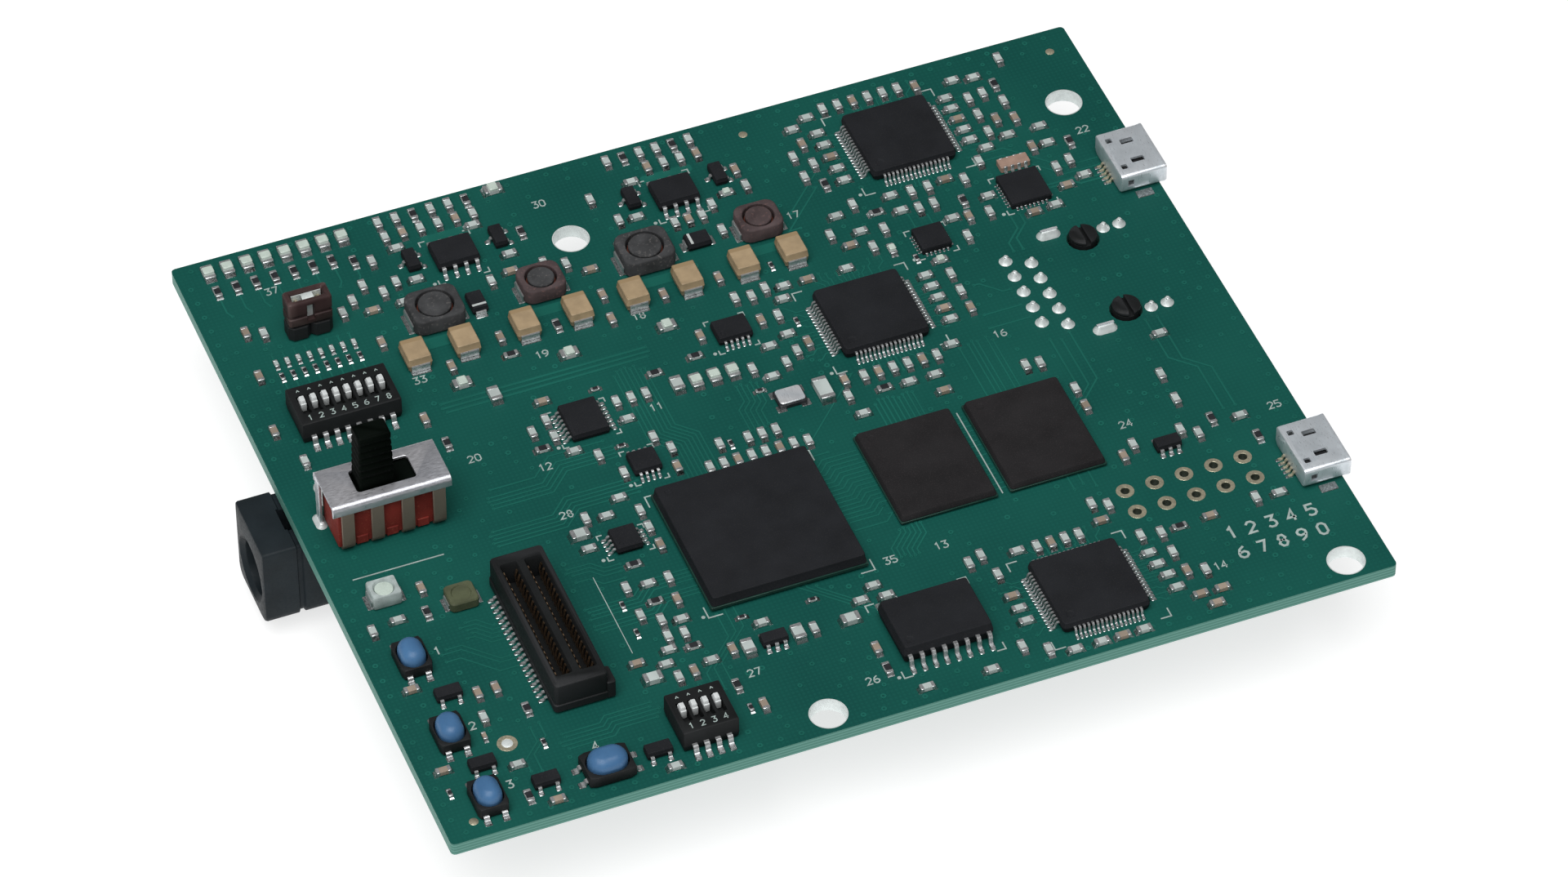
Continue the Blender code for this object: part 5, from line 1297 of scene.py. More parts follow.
GROUPS = (
    # left edge: lamp, push buttons
    (3.4, 21.4, "c", "0603", 0), (6.0, 22.0, "r", "0402", 0), (2.4, 30.6, "g", "0603", 90), (5.4, 31.2, "g", "0603", 0), (9.2, 34.6, "c", "0603", 90),
    (8.6, 31.2, "r", "0603", 90), (15.0, 33.6, "c", "0603", 90), (9.0, 15.0, "g", "0603", 90), (8.2, 12.6, "c", "0402", 90), (2.6, 9.6, "c", "0603", 0),
    (10.0, 7.6, "g", "0603", 0), (12.2, 7.6, "g", "0603", 0), (9.6, 3.2, "r", "0603", 90), (14.9, 4.6, "g", "0603", 90), (12.2, 1.6, "c", "0603", 0),
    (14.4, 1.4, "g", "0603", 0), (2.2, 6.6, "r", "0402", 90), (22.0, 6.8, "g", "0603", 90), (22.4, 1.6, "g", "0603", 0), (25.0, 1.4, "g", "0603", 0),
    (13.6, 9.6, "r", "0402", 90), (13.6, 14.6, "r", "0603", 90), (9.6, 18.4, "c", "0603", 90), (11.6, 18.4, "c", "0603", 90),
    # beside the small coding switch
    (27.2, 13.6, "g", "0805", 0), (29.8, 12.8, "g", "0603", 90), (31.6, 13.0, "c", "0603", 90), (33.8, 13.8, "g", "0603", 0), (30.2, 16.8, "g", "0603", 0),
    (32.8, 16.4, "r", "0603", 0), (26.4, 16.2, "c", "0603", 0), (35.0, 9.6, "r", "0603", 90), (36.6, 6.0, "c", "0603", 90), (35.2, 6.2, "r", "0402", 90),
    # between the board-to-board socket and the processor
    (31.0, 21.0, "g", "0603", 90), (33.0, 20.4, "g", "0603", 0), (31.4, 23.8, "r", "0603", 0), (33.6, 23.2, "c", "0603", 90), (31.6, 26.4, "g", "0603", 0),
    (33.9, 26.4, "g", "0603", 90), (27.4, 35.6, "g", "0805", 0), (27.6, 33.4, "g", "0603", 0), (28.2, 31.4, "c", "0603", 0), (34.6, 36.6, "g", "0603", 90),
    (34.6, 34.0, "g", "0603", 90), (34.8, 31.2, "c", "0603", 90), (31.0, 37.2, "g", "0603", 0), (33.2, 39.2, "g", "0603", 0), (31.2, 29.6, "r", "0603", 0),
    (28.0, 24.6, "r", "0402", 90), (28.0, 20.4, "r", "0402", 90),
    # above the processor
    (43.8, 39.8, "g", "0603", 90), (45.4, 39.8, "g", "0603", 90), (47.0, 39.8, "c", "0603", 90), (48.6, 39.8, "g", "0603", 90), (50.2, 39.8, "g", "0603", 90),
    (51.8, 39.8, "c", "0603", 90), (53.4, 39.8, "g", "0603", 90), (55.0, 39.6, "g", "0603", 90), (49.2, 42.4, "g", "0603", 90), (50.8, 42.4, "g", "0603", 90),
    (47.2, 42.4, "r", "0402", 90), (37.4, 40.0, "g", "0805", 0), (39.8, 46.2, "g", "0603", 90), (35.0, 42.4, "g", "0603", 90), (40.6, 41.2, "c", "0603", 90),
    (36.2, 46.4, "r", "0402", 0),
    # round the chip left of centre
    (30.0, 52.8, "g", "0603", 90), (30.0, 50.2, "g", "0603", 90), (28.0, 51.6, "g", "0603", 90), (28.2, 49.0, "r", "0603", 0), (38.0, 52.6, "g", "0603", 90),
    (39.7, 52.6, "g", "0603", 90), (38.2, 49.8, "g", "0603", 0), (26.2, 58.4, "g", "0805", 90), (36.6, 55.4, "r", "0402", 0), (30.6, 55.6, "c", "0603", 0),
    # row of pale parts left of the middle chip
    (45.0, 52.6, "g", "0805", 90), (47.1, 52.4, "l", "0805", 90), (49.2, 52.4, "l", "0805", 90), (51.3, 52.4, "l", "0805", 90), (53.4, 51.8, "g", "0603", 90),
    (55.0, 50.0, "g", "0603", 0), (57.2, 51.4, "g", "0603", 90), (58.9, 52.6, "g", "0603", 90), (56.4, 54.4, "g", "0603", 0), (58.9, 55.4, "g", "0603", 0),
    (60.5, 53.4, "c", "0603", 90), (59.3, 46.0, "g", "1206", 90), (61.5, 44.2, "g", "0603", 90), (62.0, 46.6, "c", "0603", 90), (53.0, 48.6, "r", "0402", 0),
    (57.0, 58.4, "c", "0603", 90), (59.0, 58.4, "g", "0603", 90), (50.0, 58.6, "c", "0603", 90), (48.4, 56.0, "r", "0603", 0), (60.6, 57.0, "r", "0402", 90),
    # in front of the tantalum capacitors
    (23.6, 61.4, "l", "0805", 0), (35.9, 61.4, "l", "0805", 0), (47.2, 61.4, "l", "0805", 0), (23.4, 64.2, "c", "0603", 90), (30.0, 63.6, "r", "0603", 0),
    (42.0, 64.6, "c", "0603", 90), (55.6, 62.6, "g", "0603", 90), (57.4, 62.2, "g", "0603", 90), (59.2, 62.8, "g", "0603", 90), (61.2, 62.4, "g", "0603", 0),
    (64.0, 62.4, "c", "0603", 0), (29.8, 66.4, "c", "0603", 90), (48.6, 66.0, "c", "0603", 90), (55.1, 66.2, "c", "0603", 90), (61.2, 66.0, "r", "0402", 90),
    (36.2, 66.0, "r", "0603", 90), (42.4, 68.4, "c", "0603", 90),
    # round the middle chip
    (66.2, 62.4, "g", "0603", 0), (68.6, 62.4, "g", "0603", 0), (70.8, 62.6, "g", "0603", 0), (76.2, 58.2, "g", "0603", 0), (76.2, 56.4, "g", "0603", 0),
    (76.2, 54.6, "g", "0603", 0), (76.2, 52.8, "c", "0603", 0), (76.2, 51.0, "g", "0603", 0), (78.9, 57.4, "g", "0603", 90), (78.9, 54.6, "g", "0603", 90),
    (78.9, 51.8, "c", "0603", 90), (64.2, 46.4, "g", "0603", 90), (65.9, 46.4, "c", "0603", 90), (67.6, 46.4, "g", "0603", 90), (69.3, 46.4, "g", "0603", 90),
    (71.0, 46.4, "c", "0603", 90), (72.7, 46.4, "g", "0603", 90), (74.8, 47.4, "g", "0603", 0), (65.6, 44.0, "r", "0603", 0), (68.4, 43.8, "g", "0603", 0),
    (71.4, 43.8, "g", "0603", 0),
    # round the rear chip
    (73.6, 83.4, "g", "0603", 0), (73.6, 81.4, "g", "0603", 0), (73.6, 79.4, "c", "0603", 0), (73.6, 77.4, "g", "0603", 0), (73.6, 75.4, "g", "0603", 0),
    (71.4, 82.4, "c", "0603", 90), (71.4, 79.0, "g", "0603", 90), (71.4, 75.6, "r", "0603", 90), (75.6, 86.8, "g", "0603", 90), (77.4, 86.8, "g", "0603", 90),
    (79.2, 86.8, "c", "0603", 90), (81.0, 86.8, "g", "0603", 90), (82.8, 86.8, "g", "0603", 90), (84.6, 86.8, "g", "0603", 90), (86.6, 86.4, "c", "0603", 90),
    (89.0, 83.4, "g", "0603", 0), (89.0, 81.6, "g", "0603", 0), (89.0, 79.8, "c", "0603", 0), (89.0, 78.0, "g", "0603", 0), (89.0, 76.2, "g", "0603", 0),
    (91.4, 82.4, "g", "0603", 90), (91.4, 79.6, "g", "0603", 90), (93.0, 78.2, "c", "0603", 90), (91.4, 76.6, "g", "0603", 90), (93.2, 75.4, "g", "0603", 0),
    (77.4, 71.2, "g", "0603", 0), (79.8, 71.0, "g", "0603", 90), (81.8, 71.0, "g", "0603", 90), (84.0, 71.4, "c", "0603", 0), (73.0, 71.4, "g", "0603", 90),
    (75.0, 69.4, "r", "0603", 0),
    # round the two small square chips
    (72.2, 67.2, "g", "0603", 0), (74.8, 66.6, "g", "0603", 90), (74.4, 63.4, "l", "0603", 90), (70.4, 65.6, "c", "0603", 0), (76.5, 65.4, "g", "0603", 0),
    (78.7, 59.9, "l", "0603", 0), (82.9, 62.2, "g", "0603", 90), (82.4, 65.4, "g", "0603", 0), (76.4, 61.2, "r", "0402", 90), (86.0, 70.6, "g", "0603", 90),
    (87.4, 69.0, "g", "0603", 0), (87.4, 67.2, "g", "0603", 0), (86.6, 64.8, "g", "0603", 90), (88.4, 64.2, "c", "0603", 0), (84.6, 67.6, "r", "0603", 90),
    (96.2, 68.6, "g", "0603", 90), (98.0, 69.2, "g", "0603", 90), (96.2, 65.6, "c", "0603", 0), (98.6, 66.4, "g", "0603", 0), (93.8, 63.2, "g", "0603", 0),
    (91.2, 63.0, "c", "0603", 0), (96.8, 72.6, "g", "0603", 0), (99.2, 72.0, "r", "0603", 90), (88.6, 72.6, "g", "0603", 90), (95.0, 72.6, "c", "0603", 90),
    # round the memory chips and the row of plated holes
    (81.0, 41.4, "g", "0603", 90), (82.6, 41.2, "g", "0603", 90), (84.6, 36.2, "g", "0603", 90), (84.6, 33.4, "c", "0603", 90), (71.4, 41.2, "c", "0603", 0),
    (62.0, 41.2, "g", "0603", 0), (94.0, 30.8, "g", "0603", 90), (94.0, 34.8, "g", "0603", 90), (96.4, 40.6, "g", "0603", 0), (87.0, 26.2, "g", "0603", 90),
    (88.0, 23.6, "g", "0603", 0), (85.4, 25.0, "c", "0603", 90), (92.6, 26.4, "g", "0603", 90), (94.2, 25.2, "g", "0603", 90), (93.0, 23.4, "c", "0603", 0),
    (96.4, 26.8, "r", "0603", 90), (79.4, 19.8, "g", "0603", 90), (81.0, 19.0, "g", "0603", 90), (79.4, 17.2, "c", "0603", 0), (99.4, 26.0, "g", "0603", 0),
    (100.0, 22.6, "r", "0603", 90), (98.6, 14.0, "g", "0603", 0), (96.0, 14.2, "g", "0603", 90), (90.4, 13.6, "c", "0603", 0), (86.8, 13.4, "r", "0603", 0),
    # round the front chip
    (69.4, 16.4, "g", "0603", 0), (71.6, 16.2, "g", "0603", 90), (73.2, 16.2, "c", "0603", 90), (74.8, 16.2, "g", "0603", 90), (76.4, 16.2, "g", "0603", 90),
    (66.2, 14.0, "g", "0603", 90), (66.4, 10.6, "c", "0603", 0), (66.4, 8.7, "g", "0603", 0), (66.4, 6.8, "g", "0603", 0), (82.4, 13.6, "g", "0603", 90),
    (82.2, 11.0, "g", "0603", 0), (82.4, 9.2, "g", "0603", 0), (84.6, 10.2, "g", "0603", 90), (82.8, 7.4, "g", "0603", 0), (84.9, 7.2, "c", "0603", 90),
    (86.8, 6.6, "g", "0603", 90), (83.0, 5.4, "g", "0603", 0), (72.6, 1.2, "g", "0603", 0), (75.0, 1.2, "c", "0603", 0), (77.4, 1.2, "g", "0603", 0),
    (67.0, 2.2, "g", "0603", 90), (69.6, 1.2, "g", "0603", 0), (84.9, 3.6, "c", "0603", 0), (87.4, 3.6, "c", "0603", 0), (86.0, 1.8, "c", "0603", 0),
    # round the wide leaded chip
    (51.4, 15.9, "g", "0603", 0), (53.4, 17.4, "g", "0603", 0), (54.2, 15.6, "g", "0603", 0), (64.0, 16.6, "g", "0603", 90), (65.6, 17.2, "g", "0603", 90),
    (49.4, 13.8, "g", "0805", 0), (53.2, 2.0, "g", "0603", 0), (55.4, 1.8, "g", "0603", 0), (60.4, 1.8, "g", "0603", 0), (62.6, 2.0, "g", "0603", 0),
    (64.6, 3.6, "g", "0603", 90), (50.4, 9.0, "c", "0603", 90), (50.4, 6.0, "r", "0603", 90), (38.0, 14.0, "g", "0805", 90), (43.6, 14.0, "g", "0805", 90),
    (45.4, 14.0, "g", "0603", 90), (40.6, 16.8, "g", "0603", 0), (36.4, 14.4, "c", "0603", 90), (46.8, 18.0, "r", "0402", 0), (39.0, 18.4, "r", "0402", 0),
    # more pale parts in the crowded places
    (83.2, 14.6, "g", "0603", 90), (84.6, 13.2, "g", "0603", 90), (98.8, 16.4, "r", "0603", 0), (30.6, 30.2, "g", "0805", 0), (28.8, 37.6, "g", "0603", 90),
    (30.8, 18.6, "g", "0603", 90), (32.6, 18.4, "g", "0603", 90), (29.2, 26.6, "g", "0603", 90), (29.2, 22.4, "g", "0603", 90), (29.2, 15.0, "g", "0603", 0),
    (93.2, 82.6, "g", "0603", 90), (94.9, 80.6, "g", "0603", 90), (93.2, 85.4, "g", "0603", 0), (90.8, 85.8, "g", "0603", 0), (95.0, 77.6, "c", "0603", 90),
    (97.0, 75.4, "g", "0603", 0), (95.0, 83.6, "r", "0603", 90), (69.7, 80.8, "g", "0603", 90), (69.7, 77.4, "g", "0603", 90), (71.2, 85.0, "g", "0603", 0),
    (73.4, 86.2, "g", "0603", 0), (83.4, 68.9, "g", "0603", 0), (81.4, 68.3, "g", "0603", 90), (79.6, 68.2, "g", "0603", 90), (77.6, 68.6, "g", "0603", 0),
    (70.6, 70.4, "g", "0603", 0), (68.9, 67.8, "g", "0603", 90), (94.8, 70.2, "g", "0603", 0), (99.6, 64.0, "g", "0603", 90), (88.6, 70.2, "g", "0603", 90),
    (93.0, 80.6, "g", "0603", 0), (90.2, 74.4, "g", "0603", 0), (84.2, 65.0, "c", "0603", 90), (74.6, 60.8, "g", "0603", 0), (72.6, 64.4, "g", "0603", 90),
    (63.6, 49.6, "g", "0603", 0), (61.9, 50.2, "g", "0603", 90), (62.2, 59.4, "g", "0603", 0), (60.4, 60.6, "g", "0603", 0), (75.6, 61.0, "g", "0603", 90),
    (46.0, 42.6, "g", "0603", 90), (52.4, 42.4, "g", "0603", 90), (54.0, 42.2, "g", "0603", 0), (42.2, 40.4, "g", "0603", 0), (33.4, 45.8, "g", "0603", 90),
    (41.0, 44.0, "g", "0603", 90), (40.2, 50.0, "g", "0603", 0), (41.4, 52.6, "g", "0603", 90), (31.2, 47.4, "g", "0603", 0), (43.4, 55.2, "r", "0603", 0),
    (24.0, 83.6, "g", "0603", 0), (33.0, 83.9, "g", "0603", 0), (51.6, 83.8, "g", "0603", 0), (63.2, 78.6, "g", "0603", 90), (46.4, 82.8, "g", "0603", 90),
    (20.4, 77.6, "g", "0603", 90), (20.8, 82.6, "g", "0603", 90), (40.4, 74.4, "g", "0603", 90), (45.0, 78.6, "g", "0603", 90), (42.6, 72.6, "c", "0603", 0),
    # round the regulators and coils
    (22.2, 78.6, "g", "0603", 90), (24.4, 78.2, "g", "0603", 0), (28.7, 74.9, "g", "0603", 90), (30.3, 74.9, "c", "0603", 90), (31.9, 74.9, "g", "0603", 90),
    (32.8, 76.4, "g", "0603", 90), (35.2, 78.2, "g", "0603", 0), (37.6, 81.0, "r", "0603", 90), (22.0, 75.4, "g", "0603", 0), (25.4, 75.4, "g", "0603", 0),
    (34.4, 75.6, "c", "0603", 0), (38.2, 75.4, "g", "0603", 90), (48.2, 78.6, "g", "0603", 90), (50.2, 78.4, "g", "0603", 0), (53.8, 76.0, "g", "0603", 90),
    (55.4, 76.0, "c", "0603", 90), (57.0, 76.0, "g", "0603", 90), (58.6, 77.2, "g", "0603", 90), (60.8, 78.4, "l", "0603", 0), (47.4, 75.4, "g", "0603", 0),
    (50.4, 75.4, "c", "0603", 0), (58.2, 73.0, "g", "0603", 90), (63.0, 81.4, "c", "0603", 90), (43.6, 74.6, "r", "0603", 90), (47.2, 82.6, "r", "0402", 90),
    # behind the jumper and the large coding switch
    (6.2, 76.4, "g", "0603", 90), (4.4, 77.2, "c", "0603", 90), (15.2, 76.2, "g", "0603", 90), (16.8, 77.6, "g", "0603", 90), (18.6, 79.4, "g", "0603", 90),
    (18.4, 75.4, "c", "0603", 0), (19.0, 83.4, "r", "0603", 90), (3.6, 70.4, "c", "0603", 90), (17.6, 70.4, "c", "0603", 90),
    (4.0, 56.6, "g", "0603", 90), (18.0, 57.8, "c", "0603", 90), (19.0, 53.6, "r", "0603", 90), (2.4, 62.0, "c", "0603", 90),
    # far edge
    (37.0, 88.4, "l", "0805", 0), (97.0, 87.2, "g", "0603", 90),
)
for g in GROUPS:
    passive(*g)
for i in range(6):
    passive(23.4 + 2.05 * i, 85.6, "gcg"[i % 3], "0603", 90)
    passive(23.4 + 2.05 * i, 88.0, "ggr"[i % 3], "0603", 90)
for i in range(6):
    passive(50.2 + 1.95 * i, 85.4, "ggc"[i % 3], "0603", 90)
    passive(50.2 + 1.95 * i, 87.8, "grg"[i % 3], "0603", 90)
# eight indicator lamps with their resistors along the far left edge
for i in range(8):
    x = 3.6 + 2.2 * i
    passive(x, 87.5, "l", "0805", 90)
    passive(x, 84.4, "r", "0603", 90)
# pull-up resistors of the large coding switch
for i in range(8):
    passive(10.4 + 1.27 * (i - 3.5), 69.6, "r", "0402", 90)
    passive(10.4 + 1.27 * (i - 3.5), 71.6, "g", "0402", 90)
# decoupling capacitors on the underside, behind the large chips
for cx, cy, nx, ny in ((45.2, 29.1, 6, 6), (65.1, 31.3, 3, 4), (77.7, 31.4, 3, 4)):
    for i in range(nx):
        for j in range(ny):
            if (i + j) % 2 == 0:
                passive(cx + 1.9 * (i - (nx - 1) / 2), cy + 2.0 * (j - (ny - 1) / 2), "cgc"[(i + 2 * j) % 3], "0402", 90 * (i % 2), under=True)
for x, y in ((29.5, 80.2), (55.3, 80.2), (68.3, 54.6), (74.3, 8.7), (24.0, 40.0), (50.0, 62.0)):
    for i in range(3):
        passive(x + 2.0 * (i - 1), y + 1.2, "cgr"[i], "0603", 90, under=True)

# ================================================================ 13. copper under the mask
Z0, Z1 = TOP - 0.01, TOP + 0.034


# ground used by copper, in cells of a tenth of a millimetre
CW, CH = int(L * 10), int(W * 10)
used = bytearray(CW * CH)


def cells(pts, q):
    """Cells within a distance of the line through the points."""
    out = set()
    for (ax, ay), (bx, by) in zip(pts, pts[1:] or pts):
        n = max(1, int(math.hypot(bx - ax, by - ay) / 0.1))
        for k in range(n + 1):
            x, y = ax + (bx - ax) * k / n, ay + (by - ay) * k / n
            for i in range(int((x - q) * 10), int((x + q) * 10) + 1):
                for j in range(int((y - q) * 10), int((y + q) * 10) + 1):
                    if ((i + 0.5) / 10 - x) ** 2 + ((j + 0.5) / 10 - y) ** 2 <= (q + 0.05) ** 2:
                        out.add((i, j))
    return out


def vacant(c):
    return all(4 <= i < CW - 4 and 4 <= j < CH - 4 and not used[i * CH + j] for i, j in c)


def occupy(c):
    for i, j in c:
        if 0 <= i < CW and 0 <= j < CH:
            used[i * CH + j] = 1


for hx_ in (42.4, 101.2):
    for hy_ in (2.6, 78.2):
        occupy(cells([(hx_, hy_)], 2.5))
for i in range(5):
    for ry in (17.25, 20.5):
        occupy(cells([(83.6 + 3.42 * i, ry)], 1.15))
    for px, off in ((85.3, 0.635), (87.84, -0.635)):
        occupy(cells([(px, EY + 2.54 * (i - 2) + off)], 0.8))
for s in (-1, 1):
    occupy(cells([(94.6, EY + s * 5.9)], 2.0))
    occupy(cells([(90.4, EY + s * 7.85), (92.2, EY + s * 7.85)], 0.9))
    for px in (97.3, 99.2):
        occupy(cells([(px, EY + s * 6.6)], 0.8))
    occupy(cells([(JX + s * 1.27, JYY)], 0.8))
occupy(cells([(10.1, 11.0)], 1.25))
for fx, fy in ((3.2, 2.2), (103.0, 86.4), (66.0, 86.6)):
    occupy(cells([(fx, fy)], 0.8))


def via(x, y, q=0.28):
    """Tented via, drawn where the ground is vacant."""
    c = cells([(x, y)], q + 0.1)
    if vacant(c):
        occupy(c)
        copper.ring(x, y, 0.4 * q, q, Z0, Z1 + 0.006, 12)


def lay(pts, w, ends=(True, True), q=0.2):
    """Line under the mask with a via at its ends, drawn where the whole of it has vacant ground."""
    c = cells(pts, w / 2 + 0.05)
    tips = [p_ for p_, on in zip((pts[0], pts[-1]), ends) if on]
    for p_ in tips:
        c |= cells([p_], q + 0.05)
    if not vacant(c):
        return
    occupy(c)
    copper.track(pts, w, Z0, Z1)
    for p_ in tips:
        copper.ring(p_[0], p_[1], 0.4 * q, q, Z0, Z1 + 0.006, 12)


def run_h(x0, y0, x1, y1, n, pitch, w, at=0.5, vias=True):
    """Parallel lines that run along x and step across at 45 degrees."""
    dy = y1 - y0
    sg = 1 if x1 > x0 else -1
    for i in range(n):
        o = pitch * (i - (n - 1) / 2)
        xm = x0 + (x1 - x0) * at - sg * abs(dy) / 2 - (o * 0.41 * sg if dy * sg > 0 else -o * 0.41 * sg)
        e = rng.uniform(-0.5, 0.5)
        pts = [(x0 + e, y0 + o), (xm, y0 + o), (xm + sg * abs(dy), y1 + o), (x1 - e, y1 + o)] if abs(dy) > 0.05 else [(x0 + e, y0 + o), (x1 - e, y0 + o)]
        lay(pts, w, (vias, vias))


def run_v(x0, y0, x1, y1, n, pitch, w, at=0.5, vias=True):
    """Parallel lines that run along y and step across at 45 degrees."""
    dx = x1 - x0
    sg = 1 if y1 > y0 else -1
    for i in range(n):
        o = pitch * (i - (n - 1) / 2)
        ym = y0 + (y1 - y0) * at - sg * abs(dx) / 2 - (o * 0.41 * sg if dx * sg > 0 else -o * 0.41 * sg)
        e = rng.uniform(-0.5, 0.5)
        pts = [(x0 + o, y0 + e), (x0 + o, ym), (x1 + o, ym + sg * abs(dx)), (x1 + o, y1 - e)] if abs(dx) > 0.05 else [(x0 + o, y0 + e), (x0 + o, y1 - e)]
        lay(pts, w, (vias, vias))


def fan(cx, cy, half, n, pitch):
    """Lines leaving a quad chip, spreading at 45 degrees to vias."""
    for i in range(n):
        u = pitch * (i - (n - 1) / 2)
        for k, (dx, dy) in enumerate(((1, 0), (0, 1), (-1, 0), (0, -1))):
            tx, ty = -dy, dx
            a = half + 0.2
            b = a + 0.35 + 0.32 * ((i * 7 + k) % 4)
            sp = 0.9 * u / half * (1.0 + 0.6 * ((i + k) % 3)) * 0.9
            c_ = b + abs(sp)
            d_ = c_ + 0.3 + 0.4 * ((i + 2 * k) % 3)
            lay([(cx + dx * q + tx * v, cy + dy * q + ty * v) for q, v in ((a, u), (b, u), (c_, u + sp), (d_, u + sp))], 0.16, (False, True))


for cx, cy in ((81.6, 79.1), (68.3, 54.6), (74.3, 8.7)):
    fan(cx, cy, 6.0, 16, 0.5)
run_h(54.3, 31.0, 59.3, 32.0, 18, 0.62, 0.18, 0.5, False)
run_h(70.8, 31.4, 72.0, 31.4, 16, 0.75, 0.18, 0.5, False)
run_v(58.6, 20.4, 60.4, 24.2, 6, 0.5, 0.18)
run_h(54.4, 22.2, 78.0, 20.6, 7, 0.55, 0.18, 0.45)
run_h(24.4, 24.0, 36.6, 25.6, 9, 0.52, 0.17, 0.55)
run_h(24.4, 30.6, 30.0, 29.4, 5, 0.52, 0.17, 0.5)
run_v(26.4, 15.6, 26.4, 29.6, 6, 0.5, 0.2, 0.5)
run_v(38.0, 20.0, 34.0, 10.0, 6, 0.5, 0.17)
run_v(47.0, 20.0, 52.6, 14.4, 5, 0.5, 0.17)
run_v(43.0, 38.2, 41.0, 57.0, 8, 0.5, 0.18, 0.4)
run_v(51.0, 43.8, 52.0, 50.0, 5, 0.55, 0.17)
run_h(56.0, 37.0, 62.0, 47.0, 5, 0.5, 0.17, 0.4)
run_v(66.0, 42.4, 66.0, 38.6, 9, 0.55, 0.17)
run_v(77.4, 47.0, 77.4, 38.6, 8, 0.55, 0.17)
run_h(79.6, 49.4, 84.6, 49.4, 4, 0.7, 0.2)
run_h(80.2, 55.4, 84.6, 53.4, 4, 0.6, 0.2)
run_v(89.4, 63.6, 87.6, 58.4, 4, 0.55, 0.22)
run_v(86.6, 44.4, 80.2, 22.6, 6, 0.6, 0.2, 0.5)
run_v(96.6, 43.6, 99.0, 27.6, 5, 0.7, 0.2, 0.5)
run_h(92.8, 18.9, 101.0, 17.3, 2, 0.5, 0.24, 0.5)
run_h(81.0, 11.8, 101.0, 16.4, 2, 0.5, 0.24, 0.35)
run_h(94.2, 66.4, 101.0, 65.8, 2, 0.5, 0.24, 0.5)
run_h(88.0, 73.6, 101.0, 68.4, 4, 0.55, 0.2, 0.5)
run_v(79.0, 70.0, 79.2, 65.4, 5, 0.5, 0.18)
run_h(70.0, 77.0, 66.6, 71.6, 5, 0.6, 0.2, 0.5)
run_v(68.6, 63.6, 68.6, 84.0, 5, 0.62, 0.2, 0.5)
run_h(20.4, 58.8, 44.0, 58.8, 3, 0.7, 0.3, 0.5)
run_h(20.6, 44.2, 35.0, 46.6, 6, 0.55, 0.18, 0.5)
run_h(19.0, 38.6, 35.6, 40.6, 5, 0.55, 0.18, 0.5)
run_v(22.0, 42.4, 21.4, 56.8, 4, 0.6, 0.2)
run_h(11.6, 27.4, 15.0, 26.0, 5, 0.55, 0.17)
run_h(8.4, 24.8, 15.0, 21.6, 4, 0.55, 0.17)
run_v(13.6, 12.6, 11.6, 6.0, 3, 0.55, 0.18)
run_h(15.6, 9.0, 26.0, 9.8, 5, 0.55, 0.17)
for i in range(8):
    # indicator lamps and coding switch: one line to each way
    x = 3.6 + 2.2 * i
    xd = 10.4 + 1.27 * (i - 3.5)
    lay([(x, 83.4), (x, 81.8 - 0.12 * abs(i - 3.5)), (x, 81.2), (x + (0.4 if i < 3 else -0.4 if i > 4 else 0), 80.4)], 0.2, (False, True))
    lay([(xd, 67.0), (xd, 69.0)], 0.2, (False, False))
    lay([(xd, 72.2), (xd, 73.4)], 0.2, (False, True))

# broad power areas
for x, y, sx, sy in ((23.4, 68.6, 7.4, 1.6), (36.4, 68.8, 7.4, 1.4), (48.6, 68.6, 7.4, 1.4), (61.6, 68.8, 7.0, 1.4), (30.0, 83.9, 6.0, 1.2),
                     (55.8, 83.9, 6.0, 1.2), (40.6, 60.6, 6.0, 2.6), (44.6, 47.0, 5.0, 2.4)):
    c = {(i, j) for i in range(int((x - sx / 2) * 10), int((x + sx / 2) * 10) + 1) for j in range(int((y - sy / 2) * 10), int((y + sy / 2) * 10) + 1)}
    if not vacant(c):
        continue
    occupy(c)
    copper.rings([level(outline(sx, sy, 0.4, 3, 1, x, y), Z0), level(outline(sx, sy, 0.4, 3, 1, x, y), Z1 - 0.012)])
# stitching vias along the rim and scattered in free ground
x = 2.0
while x < L - 1.5:
    for y in (1.1, W - 1.1):
        via(x, y, 0.32)
    x += 2.3
y = 3.2
while y < W - 2.0:
    for x in (1.1, L - 1.1):
        if not (abs(y - 51.5) < 5 and x < 2) and not (x > 50 and (abs(y - 65.8) < 5 or abs(y - 17.3) < 5)):
            via(x, y, 0.32)
    y += 2.3


def clear_of(x, y, g=0.5):
    return all(not (b[0] - g < x < b[2] + g and b[1] - g < y < b[3] + g) for b in taken)


spots = []
for _ in range(1500):
    x, y = rng.uniform(2.5, L - 2.5), rng.uniform(2.5, W - 2.5)
    if clear_of(x, y) and all((x - a) ** 2 + (y - b) ** 2 > 1.7 for a, b in spots):
        spots.append((x, y))
        via(x, y, rng.choice((0.27, 0.30, 0.34)))

